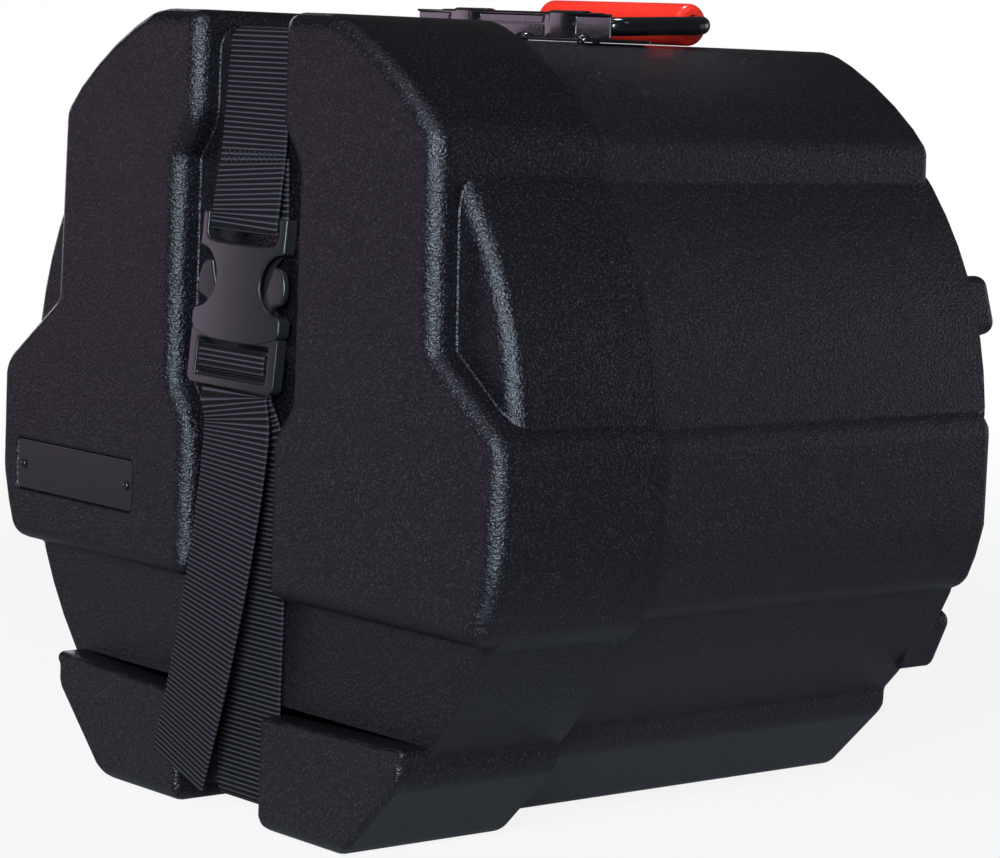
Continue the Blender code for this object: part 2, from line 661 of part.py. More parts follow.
def make_backing_plates():
    """Plates inside the body that spread the load of the handle and of the strap's anchor."""
    front, back = bracket_span()
    top = BODY_TOP_Z - SHELL_WALL - SEAT_GAP
    half = BACKING_HALF_WIDTH
    low, high = (-half, front, top - BACKING_SHEET), (half, back, top)
    make_plate("handle_backing_plate", low, high, handle_rivet_places())
    floor = BODY_BOTTOM_Z + SHELL_WALL + SEAT_GAP
    reach = ANCHOR_PLATE_LENGTH / 2
    low = (-HALF_STRAP, ANCHOR_DEPTH - reach, floor)
    high = (HALF_STRAP, ANCHOR_DEPTH + reach, floor + BACKING_SHEET)
    make_plate("strap_anchor_plate", low, high, anchor_rivet_places())


def rivet_profile(head_base, tail_base):
    """Radius and height pairs of a set rivet whose domed head is at the top."""
    shank = RIVET_SHANK_RADIUS
    head = RIVET_HEAD_RADIUS
    return ((RIVET_TAIL_RADIUS, tail_base - RIVET_TAIL_HEIGHT), (RIVET_TAIL_RADIUS, tail_base),
            (shank, tail_base), (shank, head_base), (head, head_base),
            (RIVET_DOME_RADIUS, head_base + RIVET_DOME_HEIGHT),
            (RIVET_CROWN_RADIUS, head_base + RIVET_HEAD_HEIGHT))


def make_handle_rivets():
    base_top = BODY_TOP_Z + SEAT_GAP + BRACKET_SHEET
    tail = BODY_TOP_Z - SHELL_WALL - BACKING_SHEET - 2 * SEAT_GAP
    profile = rivet_profile(base_top + SEAT_GAP, tail)
    for k, (x, y) in enumerate(handle_rivet_places()):
        add_object("handle_rivet_%d" % (k + 1), turned(profile, (x, y, 0), sides=RIVET_SIDES), STEEL)


def make_anchor_rivets():
    """Rivets that hold the strap's lower end to the body's underside, heads down."""
    head = BODY_BOTTOM_Z + STRAP_POCKET_DEPTH - STRAP_THICKNESS - 2 * SEAT_GAP
    tail = BODY_BOTTOM_Z + SHELL_WALL + BACKING_SHEET + 2 * SEAT_GAP
    profile = rivet_profile(-head, -tail)
    down = [(radius, -height) for radius, height in profile]
    for k, (x, y) in enumerate(anchor_rivet_places()):
        add_object("strap_rivet_%d" % (k + 1), turned(down, (x, y, 0), sides=RIVET_SIDES), STEEL)


def bail_tilt():
    """The bail lies a little uphill, so that the thicker grip rests on the case."""
    return math.asin((GRIP_RADIUS + SEAT_GAP - HINGE_HEIGHT) / BAIL_LENGTH)


def bail_place():
    hinge = Matrix.Translation((0, depth(HINGE_DEPTH), BODY_TOP_Z + HINGE_HEIGHT))
    return hinge @ Matrix.Rotation(bail_tilt(), 4, "X")


def bail_path():
    """The closed centre line of the bail, flat, with its hinge bar on the X axis."""
    quarter = math.pi / 2
    corners = ((BAIL_HALF_WIDTH, 0.0, BAIL_HINGE_BEND, -quarter),
               (BAIL_HALF_WIDTH, BAIL_LENGTH, BAIL_GRIP_BEND, 0.0),
               (-BAIL_HALF_WIDTH, BAIL_LENGTH, BAIL_GRIP_BEND, quarter),
               (-BAIL_HALF_WIDTH, 0.0, BAIL_HINGE_BEND, 2 * quarter))
    path = []
    for x, y, bend, start in corners:
        cx = x - math.copysign(bend, x)
        cy = y + (bend if y == 0 else -bend)
        for k in range(BEND_STEPS + 1):
            angle = start + quarter * k / BEND_STEPS
            path.append(Vector((cx + bend * math.cos(angle), cy + bend * math.sin(angle), 0)))
    return path


def make_bail():
    """The steel rod bail: a closed ring whose hinge bar turns in the knuckles."""
    path = bail_path()
    bm = bmesh.new()
    rings = []
    for i, point in enumerate(path):
        ahead = (path[(i + 1) % len(path)] - point).normalized()
        behind = (point - path[i - 1]).normalized()
        across = (ahead + behind).normalized().cross(Vector((0, 0, 1)))
        stretch = 1 / math.cos(ahead.angle(behind) / 2)
        ring = []
        for k in range(ROD_SIDES):
            angle = 2 * math.pi * k / ROD_SIDES
            offset = across * math.cos(angle) * stretch + Vector((0, 0, math.sin(angle)))
            ring.append(bm.verts.new(point + offset * BAIL_ROD_RADIUS))
        rings.append(ring)
    for near, far in zip(rings, rings[1:] + rings[:1]):
        for k in range(ROD_SIDES):
            j = (k + 1) % ROD_SIDES
            bm.faces.new((near[k], near[j], far[j], far[k]))
    hang_on_hinge(add_object("handle_bail", bm, STEEL))


def hang_on_hinge(piece):
    """Puts a piece that was modelled about the hinge bar on the hinge axis."""
    piece.matrix_world = bail_place()


def grip_sleeve(profile, sides):
    """A solid about the bail's far bar; the profile holds radius and X pairs."""
    turns = [2 * math.pi * k / sides for k in range(sides)]
    return loft([[(x, BAIL_LENGTH + radius * math.cos(turn), radius * math.sin(turn)) for turn in turns]
                 for radius, x in profile])


def make_grip():
    """The moulded grip, a sleeve on the bail's far bar with rounded ends."""
    half = BAIL_HALF_WIDTH - BAIL_GRIP_BEND
    bore = BAIL_ROD_RADIUS + SEAT_GAP
    end = GRIP_RADIUS - GRIP_END_ROUND
    full = half - GRIP_END_ROUND
    profile = ((end, -half), (GRIP_RADIUS, -full), (GRIP_RADIUS, full), (end, half))
    grip = add_object("handle_grip", grip_sleeve(profile, GRIP_SIDES), GRIP_RED)
    through = ((bore, -BAIL_HALF_WIDTH), (bore, BAIL_HALF_WIDTH))
    cutter = add_object("grip_bore", grip_sleeve(through, BORE_SIDES))
    hang_on_hinge(grip)
    hang_on_hinge(cutter)
    boolean(grip, cutter)


# Label

def make_label():
    """A bare plate in its pocket, held by two small rivets."""
    front = LABEL_POCKET_DEPTH - SEAT_GAP - LABEL_THICKNESS
    plate = add_object("label_plate", label_box(SEAT_GAP, front, front + LABEL_THICKNESS), LABEL_FINISH)
    shank = LABEL_RIVET_SHANK
    tail = PAD_WALL + LABEL_RIVET_GRIP_EXTRA
    head_base = front - SEAT_GAP
    profile = ((shank, tail), (shank, head_base), (LABEL_RIVET_HEAD, head_base),
               (LABEL_RIVET_CROWN, head_base - LABEL_RIVET_HEAD_HEIGHT))
    for k, (x, z) in enumerate(label_rivet_places()):
        place = (x, 0, z)
        hole = shank + SEAT_GAP
        cutter = pin_cutter("label_plate_hole_%d" % k, hole, 0, SHELL_WALL, place, "Y", SMALL_RIVET_SIDES)
        boolean(plate, cutter)
        add_object("label_rivet_%d" % (k + 1), turned(profile, place, "Y", SMALL_RIVET_SIDES), STEEL)


# Buckle

def buckle_place():
    """The buckle's own axes in the world: turned, leaning out at its foot, and leaning to the right."""
    centre = Matrix.Translation((BUCKLE_CENTRE_X, depth(BUCKLE_CENTRE_DEPTH), BUCKLE_CENTRE_Z))
    turn = Matrix.Rotation(BUCKLE_YAW, 4, "Z") @ Matrix.Rotation(-BUCKLE_PITCH, 4, "X")
    return centre @ turn @ Matrix.Rotation(BUCKLE_ROLL, 4, "Y")


def buckle_point(across, inward, up):
    return buckle_place() @ Vector((across, inward, up))


def buckle_block(outline, half_depth):
    """An outline across and up, given a thickness about the buckle's middle plane, with thinner edges."""
    edge = BUCKLE_EDGE
    steps = ((-half_depth, edge), (edge - half_depth, 0.0), (half_depth - edge, 0.0), (half_depth, edge))
    return loft([[(x, y, z) for x, z in inset(outline, amount)] for y, amount in steps])


def buckle_piece(name, bm, finish=None):
    piece = add_object(name, bm, finish)
    piece.matrix_world = buckle_place()
    return piece


def buckle_box(low, high):
    bm = bmesh.new()
    centre = [(a + b) / 2 for a, b in zip(low, high)]
    size = [b - a for a, b in zip(low, high)]
    bmesh.ops.create_cube(bm, size=1, matrix=Matrix.Translation(centre) @ Matrix.Diagonal((*size, 1)))
    return bm


def window_arc():
    """The side window: a bow cut that leaves the receiver's middle whole, from low to high."""
    reach = RECEIVER_WAIST_HALF_WIDTH - WINDOW_INNER
    points = []
    for k in range(2 * BEND_STEPS + 1):
        angle = math.pi * (k / (2 * BEND_STEPS) - 0.5)
        points.append((RECEIVER_WAIST_HALF_WIDTH - reach * math.cos(angle),
                       WINDOW_CENTRE + WINDOW_HALF_HEIGHT * math.sin(angle)))
    return points


def receiver_outline():
    """Half of the receiver from the foot up to the top, then mirrored."""
    top = RECEIVER_BOTTOM + RECEIVER_HEIGHT
    shoulder = WINDOW_CENTRE - WINDOW_HALF_HEIGHT - RECEIVER_SHOULDER_DROP
    half = [(RECEIVER_HALF_WIDTH, RECEIVER_BOTTOM), (RECEIVER_HALF_WIDTH, shoulder)]
    half += window_arc()
    half += [(RECEIVER_WAIST_HALF_WIDTH, top)]
    return [(-x, z) for x, z in half] + [(x, z) for x, z in reversed(half)]


def slot_edges():
    """Heights of the receiver's strap slot and of its top bar."""
    bar_top = RECEIVER_BOTTOM + RECEIVER_HEIGHT
    bar_low = bar_top - TOP_BAR_HEIGHT
    return bar_low - TOP_SLOT_HEIGHT, bar_low, bar_top


def make_receiver():
    """The buckle's receiver: hollow, open below, with two side windows and a strap slot."""
    half = BUCKLE_THICKNESS / 2
    receiver = buckle_piece("buckle_receiver", buckle_block(receiver_outline(), half), BUCKLE_PLASTIC)
    inner = half - BUCKLE_WALL
    low = (-CAVITY_HALF_WIDTH, -inner, RECEIVER_BOTTOM - BUCKLE_WALL)
    cavity = buckle_box(low, (CAVITY_HALF_WIDTH, inner, CAVITY_TOP))
    boolean(receiver, buckle_piece("receiver_cavity", cavity))
    slot_low, bar_low, bar_top = slot_edges()
    low = (-BAR_SLOT_HALF_WIDTH, -BUCKLE_THICKNESS, slot_low)
    slot = buckle_box(low, (BAR_SLOT_HALF_WIDTH, BUCKLE_THICKNESS, bar_low))
    boolean(receiver, buckle_piece("receiver_slot", slot))
    for side in (-1, 1):
        near, far = sorted((side * TOP_BAR_THICKNESS / 2, side * BUCKLE_THICKNESS))
        low = (-BAR_SLOT_HALF_WIDTH, near, slot_low)
        relief = buckle_box(low, (BAR_SLOT_HALF_WIDTH, far, bar_top + BUCKLE_WALL))
        boolean(receiver, buckle_piece("receiver_bar_relief_%d" % side, relief))


def insert_heights():
    """Heights on the insert from the rail down: rail, slot, lock bar, slot and end bar edges."""
    rail_top = RECEIVER_BOTTOM - SEAT_GAP
    rail_low = rail_top - INSERT_RAIL_HEIGHT
    bar_top = rail_low - LOCK_SLOT_HEIGHT
    bar_low = bar_top - LOCK_BAR_HEIGHT
    end_top = bar_low - LOCK_SLOT_HEIGHT
    return rail_top, rail_low, bar_top, bar_low, end_top, end_top - END_BAR_HEIGHT


def make_insert():
    """The buckle's insert: a ladder lock frame with a guide tongue that runs into the receiver."""
    rail_top, rail_low, bar_top, bar_low, end_top, end_low = insert_heights()
    outline = [(-INSERT_HALF_WIDTH, end_low), (INSERT_HALF_WIDTH, end_low), (INSERT_HALF_WIDTH, rail_top),
               (-INSERT_HALF_WIDTH, rail_top)]
    insert = buckle_piece("buckle_insert", buckle_block(outline, INSERT_THICKNESS / 2), BUCKLE_PLASTIC)
    tongue_half = BUCKLE_THICKNESS / 2 - BUCKLE_WALL - 2 * SEAT_GAP
    low = (-TONGUE_HALF_WIDTH, -tongue_half, rail_low)
    tongue = buckle_box(low, (TONGUE_HALF_WIDTH, tongue_half, rail_top + TONGUE_LENGTH))
    boolean(insert, buckle_piece("insert_tongue", tongue), "UNION")
    for k, (low_z, high_z) in enumerate(((bar_top, rail_low), (end_top, bar_low))):
        low = (-BAR_SLOT_HALF_WIDTH, -BUCKLE_THICKNESS, low_z)
        slot = buckle_box(low, (BAR_SLOT_HALF_WIDTH, BUCKLE_THICKNESS, high_z))
        boolean(insert, buckle_piece("lock_slot_%d" % k, slot))
    for side in (-1, 1):
        near, far = sorted((side * LOCK_BAR_THICKNESS / 2, side * BUCKLE_THICKNESS))
        low = (-BAR_SLOT_HALF_WIDTH, near, end_low - BUCKLE_WALL)
        relief = buckle_box(low, (BAR_SLOT_HALF_WIDTH, far, rail_low))
        boolean(insert, buckle_piece("lock_bar_relief_%d" % side, relief))


def prong_outline():
    """The right prong about its root: a slim leg that bows out into the window and ends in a nose."""
    half = PRONG_WIDTH / 2
    mouth = CAVITY_HALF_WIDTH - 2 * SEAT_GAP - PRONG_ROOT_X
    reach = PRONG_REACH - PRONG_ROOT_X
    window_low = WINDOW_CENTRE - WINDOW_HALF_HEIGHT - RECEIVER_BOTTOM
    leg = window_low + PRONG_WIDTH
    neck = (PRONG_NECK[0] * reach - half, PRONG_NECK[1] * PRONG_LENGTH)
    nose = [(x * reach, z * PRONG_LENGTH) for x, z in PRONG_NOSE]
    sole = min(mouth, PRONG_SOLE_SHARE * reach)
    ankle = (min(mouth, half), PRONG_SOLE_SHARE * window_low)
    return [(-half, 0), (-half, PRONG_LEG_SHARE * PRONG_LENGTH), neck, *nose,
            (PRONG_HEEL_SHARE * reach, leg + half), (sole, leg), ankle, (half, 0)]


def make_prongs():
    """The two spring prongs; each turns a little about its root when its side is pressed."""
    half = BUCKLE_THICKNESS / 2 - BUCKLE_WALL - 2 * SEAT_GAP
    root = RECEIVER_BOTTOM + SEAT_GAP
    for side, name in ((-1, "prong_left"), (1, "prong_right")):
        solid = loft([[(side * x, y, z) for x, z in prong_outline()] for y in (-half, half)])
        piece = add_object(name, solid, BUCKLE_PLASTIC)
        piece.matrix_world = buckle_place() @ Matrix.Translation((side * PRONG_ROOT_X, 0, root))


# Webbing

def ribbon(path):
    """A flat strap along a path of centre points, each with the direction of the strap's width there."""
    sections = []
    for i, (point, wide) in enumerate(path):
        ahead = path[min(i + 1, len(path) - 1)][0]
        behind = path[max(i - 1, 0)][0]
        along = (ahead - behind).normalized()
        half_t = along.cross(wide).normalized() * HALF_WEB
        half_w = wide * HALF_STRAP
        near, far = point - half_t, point + half_t
        sections.append([near - half_w, near + half_w, far + half_w, far - half_w])
    return loft(sections)


def at(x, y, z, turn=0.0):
    """A point of a strap's path and its width there; Y is a depth and turn is about the vertical."""
    return Vector((x, depth(y), z)), Vector((math.cos(turn), math.sin(turn), 0))


def in_buckle(inward, up):
    return buckle_point(0, inward, up), buckle_place().to_3x3() @ Vector((1, 0, 0))


def corner_bend(x, corner_y, corner_z, downward):
    """Points of the strap's bend over the lid's front edge, from the flat run to the upright run."""
    radius = CORNER_BEND_RADIUS
    points = []
    for k in range(BEND_STEPS + 1):
        angle = math.pi / 2 * k / BEND_STEPS
        y = corner_y + radius * (1 - math.sin(angle))
        z = corner_z + downward * radius * (1 - math.cos(angle))
        points.append(at(x, y, z))
    return points


def strap_front_depth():
    return PAD_HEIGHT - SEAT_GAP - HALF_WEB


def lid_top_strap_z():
    return CASE_HEIGHT - TOP_CHANNEL_DEPTH + SEAT_GAP + HALF_WEB


def lid_bottom_strap_z():
    return BOTTOM_CHANNEL_DEPTH - SEAT_GAP - HALF_WEB


def round_corner(inward, up, start, end):
    """Points round one corner of a buckle bar; angles in degrees, from the inward side upwards."""
    radius = SEAT_GAP + HALF_WEB
    points = []
    for k in range(BEND_STEPS):
        angle = math.radians(start + (end - start) * k / (BEND_STEPS - 1))
        points.append(in_buckle(inward + radius * math.cos(angle), up + radius * math.sin(angle)))
    return points


def between(first, last, part):
    """A path point part of the way from one path point to another."""
    return first[0].lerp(last[0], part), first[1].lerp(last[1], part).normalized()


def make_upper_strap():
    """From the lid's top edge down to the receiver, round its bar and back up, sewn behind itself."""
    front = strap_front_depth()
    slot_low, bar_low, bar_top = slot_edges()
    radius = TOP_BAR_THICKNESS / 2 + SEAT_GAP + HALF_WEB
    layer = STRAP_THICKNESS + SEAT_GAP
    x = UPPER_STRAP_X
    bend = corner_bend(x, front, lid_top_strap_z(), -1)
    seam_z = BUCKLE_CENTRE_Z + bar_top + SEWN_LOOP_LENGTH
    turn = SEAM_TURN_SHARE * BUCKLE_YAW
    swing = HALF_STRAP * math.sin(turn) + SEAT_GAP
    seam = at(x, front - layer - swing, seam_z, turn)
    onto_bar = in_buckle(-radius, bar_top)
    off_bar = in_buckle(radius, bar_top)
    path = [at(x, STRAP_SPLIT_DEPTH, lid_top_strap_z())] + bend + [between(bend[-1], seam, 0.5), seam]
    path += [between(seam, onto_bar, 0.5), onto_bar]
    path += round_corner(-TOP_BAR_THICKNESS / 2, bar_low, 180, 270)
    path += round_corner(TOP_BAR_THICKNESS / 2, bar_low, 270, 360)
    path += [off_bar, between(off_bar, at(x, front - swing, seam_z - layer, turn), 0.5),
             at(x, front - swing, seam_z - layer, turn)]
    add_object("strap_upper", ribbon(path), WEBBING)


def make_top_strap():
    """From the lid's front edge over the lid and into the pocket under the handle bracket."""
    top = lid_top_strap_z()
    x = UPPER_STRAP_X
    pocket = BODY_TOP_Z - STRAP_POCKET_DEPTH + SEAT_GAP / 2 + HALF_WEB
    path = [at(x, STRAP_SPLIT_DEPTH + SEAT_GAP, top), at(x, SEAM_DEPTH + STRAP_THICKNESS, top),
            at(0, STRAP_POCKET_START, pocket), at(0, top_pocket_end() - SEAT_GAP, pocket)]
    strap = add_object("strap_top", ribbon(path), WEBBING)
    under = [(x, y) for x, y in handle_rivet_places() if abs(x) < HALF_STRAP and y < HINGE_DEPTH]
    cut_rivet_holes(strap, under, pocket)


def make_bottom_strap():
    """From the lid's front edge under the lid to its rivets under the body."""
    low = lid_bottom_strap_z()
    pocket = BODY_BOTTOM_Z + STRAP_POCKET_DEPTH - SEAT_GAP / 2 - HALF_WEB
    path = [at(LOWER_STRAP_X, STRAP_SPLIT_DEPTH + SEAT_GAP, low),
            at(LOWER_STRAP_X / 2, SEAM_DEPTH + STRAP_THICKNESS, low),
            at(0, STRAP_POCKET_START, pocket), at(0, anchor_pocket_end() - SEAT_GAP, pocket)]
    strap = add_object("strap_bottom", ribbon(path), WEBBING)
    cut_rivet_holes(strap, anchor_rivet_places(), pocket)


def lock_layers():
    """How far behind the lock's bars the tail and then the loaded strap lie."""
    tail = LOCK_BAR_THICKNESS / 2 + SEAT_GAP + HALF_WEB
    return tail, tail + STRAP_THICKNESS + SEAT_GAP


def make_lower_strap():
    """From under the lid up the channel's right side to the back of the ladder lock."""
    front = strap_front_depth()
    low = lid_bottom_strap_z()
    bar_low, end_low = insert_heights()[3], insert_heights()[5]
    loaded = lock_layers()[1]
    x = LOWER_STRAP_X
    lock = in_buckle(loaded, end_low - LOCK_LEAD)
    turn = BUCKLE_YAW / 2
    free_z = BUCKLE_CENTRE_Z - LOWER_STRAP_FREE_DROP
    free = at(x, front - HALF_STRAP * math.sin(turn) - SEAT_GAP, free_z, turn)
    path = [at(x, STRAP_SPLIT_DEPTH, low)] + corner_bend(x, front, low, 1)
    flat = at(x, front, BUCKLE_CENTRE_Z - LOWER_STRAP_FLAT_DROP)
    path += [flat, free, between(free, lock, 0.5), lock]
    path.append(in_buckle(loaded, bar_low))
    add_object("strap_lower", ribbon(path), WEBBING)


def make_tail():
    """The webbing in the ladder lock and its loose end, which hangs in front and drifts to the left."""
    bar_top, bar_low, end_top, end_low = insert_heights()[2:]
    tail, loaded = lock_layers()
    half = LOCK_BAR_THICKNESS / 2
    path = [in_buckle(loaded, bar_low + SEAT_GAP), in_buckle(TAIL_START_SHARE * loaded, bar_top)]
    path += round_corner(half, bar_top, TAIL_ONTO_LOCK, 90) + round_corner(-half, bar_top, 90, 180)
    path += round_corner(-half, bar_low, 180, TAIL_OFF_LOCK)
    path += round_corner(half, end_top, TAIL_ONTO_END_BAR, 0)
    start = in_buckle(tail, end_low)
    path += [start, in_buckle(TAIL_LEAD_SHARE * tail, end_low - LOCK_LEAD)]
    end_depth = HALF_STRAP * abs(math.sin(TAIL_END_TURN)) + HALF_WEB - TAIL_PROUD
    x, y, z = start[0].x, start[0].y - FRONT_Y, start[0].z
    for down, drift, out in TAIL_HANG:
        turn = BUCKLE_YAW + down * (TAIL_END_TURN - BUCKLE_YAW)
        place = (x + drift * (TAIL_END_X - x), y + out * (end_depth - y), z + down * (TAIL_END_Z - z))
        path.append(at(*place, turn))
    add_object("strap_tail", ribbon(path), WEBBING)


def main():
    clear_scene()
    make_body_shell()
    make_lid_shell()
    make_side_liner()
    make_end_pads()
    make_bracket()
    make_backing_plates()
    make_handle_rivets()
    make_anchor_rivets()
    make_bail()
    make_grip()
    make_label()
    make_receiver()
    make_insert()
    make_prongs()
    make_upper_strap()
    make_top_strap()
    make_bottom_strap()
    make_lower_strap()
    make_tail()


main()
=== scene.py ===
"""The looks of a moulded tom case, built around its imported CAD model.

Metres, +Z up, +X to the right of someone who faces the lid, +Y from the lid to the back.
Sizes that run along the case are counted from the front plane of the lid's raised pads, as in the CAD.
"""

import math

import bmesh
import bpy
from mathutils import Matrix, Vector


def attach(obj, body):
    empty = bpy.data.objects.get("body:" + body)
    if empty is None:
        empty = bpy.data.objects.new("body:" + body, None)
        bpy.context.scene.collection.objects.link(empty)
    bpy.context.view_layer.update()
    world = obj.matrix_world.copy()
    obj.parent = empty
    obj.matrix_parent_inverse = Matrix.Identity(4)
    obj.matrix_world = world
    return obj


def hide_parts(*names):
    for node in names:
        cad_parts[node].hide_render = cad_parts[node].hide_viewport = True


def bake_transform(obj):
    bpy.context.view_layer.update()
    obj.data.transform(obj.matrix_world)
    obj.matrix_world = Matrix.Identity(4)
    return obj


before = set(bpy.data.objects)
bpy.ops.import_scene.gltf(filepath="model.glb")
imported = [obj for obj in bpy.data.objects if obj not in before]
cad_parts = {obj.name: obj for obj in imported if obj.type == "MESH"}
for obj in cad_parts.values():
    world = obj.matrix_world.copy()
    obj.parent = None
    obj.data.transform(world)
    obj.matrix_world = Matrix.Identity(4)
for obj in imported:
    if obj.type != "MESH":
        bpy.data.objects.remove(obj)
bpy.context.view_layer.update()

bl_info = {
    "name": "Tom case",
    "version": (1, 0, 0),
    "blender": (4, 5, 0),
    "location": "View3D > Sidebar > Tom Case",
    "description": "Builds a moulded drum case with its strap, buckle, handle and studio",
    "category": "Add Mesh",
}

# Shells, as in the CAD
SEAT_GAP = 0.0003
FRONT_Y = -0.17515
CASE_HEIGHT = 0.399
CASE_DEPTH = 0.3388
SEAM_DEPTH = 0.0992
SHELL_WALL = 0.005
LID_FIT_GAP = 0.0038
PAD_HEIGHT = 0.015
END_PAD_THICKNESS = 0.012
SHOULDER_RADIUS = 0.2135
ROUND_RADIUS = 0.2012
SHOULDER_STEP_X = 0.155
HIP_HALF_WIDTH = 0.208
HIP_TOP_RISE = 0.0085
HIP_BOTTOM_DROP = 0.0845
HIP_LEDGE_DROP = 0.006
LOWER_CENTRE_DROP = 0.006
FOOT_HALF_WIDTH = 0.1445
FOOT_CORNER_Z = 0.0433
FOOT_PAD_TOP_Z = 0.061
FOOT_PAD_INNER_DROP = 0.004
TOP_CHANNEL_DEPTH = 0.0095
BOTTOM_CHANNEL_DEPTH = 0.009
CHANNEL_HALF_WIDTH = 0.0345
BUCKLE_BAY_HALF_WIDTH = 0.0485
BAY_TOP_Z = 0.335
BAY_BOTTOM_Z = 0.2035
BAY_STEP_RISE = 0.018
PAD_KINK = (0.1576, 0.2472)
REAR_FOOT_LENGTH = 0.0175
REAR_FOOT_RADIAL = 0.021
REAR_FOOT_TANGENTIAL = 0.031
REAR_FEET = ((0.1790, 0.2655, math.radians(18)), (0.1580, 0.0845, math.radians(-24)))
GROUND_FOOT_WIDTH = 0.030
GROUND_FOOT_LENGTH = 0.034
GROUND_FOOT_X = 0.052
GROUND_FOOT_BACK_GAP = 0.014
LINER_BORE_RADIUS = 0.170
ARC_STEP = math.radians(5)

# Strap, as in the CAD
STRAP_WIDTH = 0.050
STRAP_THICKNESS = 0.0018
STRAP_POCKET_DEPTH = 0.0022
STRAP_POCKET_START = 0.145
STRAP_SPLIT_DEPTH = 0.0225
TOP_POCKET_END = 0.198
ANCHOR_POCKET_END = 0.185
ANCHOR_DEPTH = 0.166
UPPER_STRAP_X = 0.0017
LOWER_STRAP_X = 0.0085

# Buckle, in its own axes: across, towards the case, and up
BUCKLE_CENTRE = (0.0032, 0.0044, 0.2532)
BUCKLE_YAW = math.radians(4)
BUCKLE_PITCH = math.radians(4.5)
BUCKLE_ROLL = math.radians(1)
BUCKLE_THICKNESS = 0.0086
BUCKLE_WALL = 0.0019
RECEIVER_BOTTOM = -0.011
RECEIVER_HEIGHT = 0.058
RECEIVER_HALF_WIDTH = 0.0333
RECEIVER_WAIST = 0.0318
WINDOW_CENTRE = 0.0145
WINDOW_HALF_HEIGHT = 0.0152
WINDOW_INNER = 0.0165
CAVITY_HALF_WIDTH = 0.0255
CAVITY_TOP = 0.031
BAR_SLOT_HALF_WIDTH = 0.0268
TOP_BAR_HEIGHT = 0.0065
TOP_SLOT_HEIGHT = 0.0075
TOP_BAR_THICKNESS = 0.004
INSERT_HALF_WIDTH = 0.0328
INSERT_THICKNESS = 0.0066
INSERT_RAIL_HEIGHT = 0.0045
LOCK_SLOT_HEIGHT = 0.005
LOCK_BAR_HEIGHT = 0.007
LOCK_BAR_THICKNESS = 0.003
END_BAR_HEIGHT = 0.0055
TONGUE_HALF_WIDTH = 0.004
TONGUE_LENGTH = 0.030
PRONG_ROOT_X = 0.0178
PRONG_WIDTH = 0.0038
PRONG_LENGTH = 0.034
PRONG_REACH = 0.033

# Handle and label, as in the CAD
HINGE_DEPTH = 0.180
HINGE_HEIGHT = 0.0083
BAIL_ROD_RADIUS = 0.0048
BAIL_HALF_WIDTH = 0.071
BAIL_LENGTH = 0.069
GRIP_RADIUS = 0.011
BRACKET_HALF_WIDTH = 0.0765
BRACKET_SHEET = 0.0018
BRACKET_REACH = 0.024
LABEL_BOX = ((-0.189, 0.1425), (-0.081, 0.169))
LABEL_POCKET_DEPTH = 0.0025
LABEL_THICKNESS = 0.0015
LABEL_RIVET_INSET = 0.0055

# Sizes that follow
CENTRE_Z = CASE_HEIGHT / 2
BODY_INSET = SHELL_WALL + LID_FIT_GAP
BODY_TOP_Z = CASE_HEIGHT - BODY_INSET
BODY_BOTTOM_Z = BODY_INSET
LID_FLOOR = PAD_HEIGHT + SHELL_WALL
RIM_DEPTH = LID_FLOOR + END_PAD_THICKNESS + 2 * SEAT_GAP
COLLAR_BACK = STRAP_POCKET_START + SHELL_WALL
LINER_ROOM = BODY_INSET + SHELL_WALL + SEAT_GAP
HALF_STRAP = STRAP_WIDTH / 2
HALF_WEB = STRAP_THICKNESS / 2


def depth(value):
    """World Y of a depth that is counted from the front plane of the pads."""
    return FRONT_Y + value


# Settings that a user may change

class TomCaseShell(bpy.types.PropertyGroup):
    """Sizes and colours of the moulded shells."""
    edge_round: bpy.props.FloatProperty(
        name="Lid edge", description="Radius of the lid's moulded edges", default=0.0092, unit="LENGTH")
    body_round: bpy.props.FloatProperty(
        name="Body edge", description="Radius of the body's moulded edges", default=0.0066, unit="LENGTH")
    hollow_round: bpy.props.FloatProperty(
        name="Inner corner", description="Radius of the shells' inner corners", default=0.0013, unit="LENGTH")
    grain_size: bpy.props.FloatProperty(
        name="Grain size", description="Width of one pebble of the moulded grain", default=0.0016,
        unit="LENGTH")
    colour: bpy.props.FloatVectorProperty(
        name="Colour", description="Colour of the moulded plastic", default=(0.0036, 0.0028, 0.0042),
        subtype="COLOR", size=3)
    foam_colour: bpy.props.FloatVectorProperty(
        name="Foam colour", description="Colour of the foam lining", default=(0.060, 0.060, 0.064),
        subtype="COLOR", size=3)


class TomCaseStrap(bpy.types.PropertyGroup):
    """Sizes and colours of the webbing and its buckle."""
    rib_pitch: bpy.props.FloatProperty(
        name="Rib pitch", description="Distance from one rib of the webbing to the next", default=0.0025,
        unit="LENGTH")
    rib_height: bpy.props.FloatProperty(
        name="Rib height", description="How far a rib stands out", default=0.00042, unit="LENGTH")
    # The rib tops' colour is painted pale, as painted highlight; the grooves are painted near black from it,
    # as painted shade.
    colour: bpy.props.FloatVectorProperty(
        name="Colour", description="Colour of the webbing's rib tops", default=(0.100, 0.089, 0.102),
        subtype="COLOR", size=3)
    buckle_colour: bpy.props.FloatVectorProperty(
        name="Buckle colour", description="Colour of the buckle", default=(0.0045, 0.0038, 0.0050),
        subtype="COLOR", size=3)


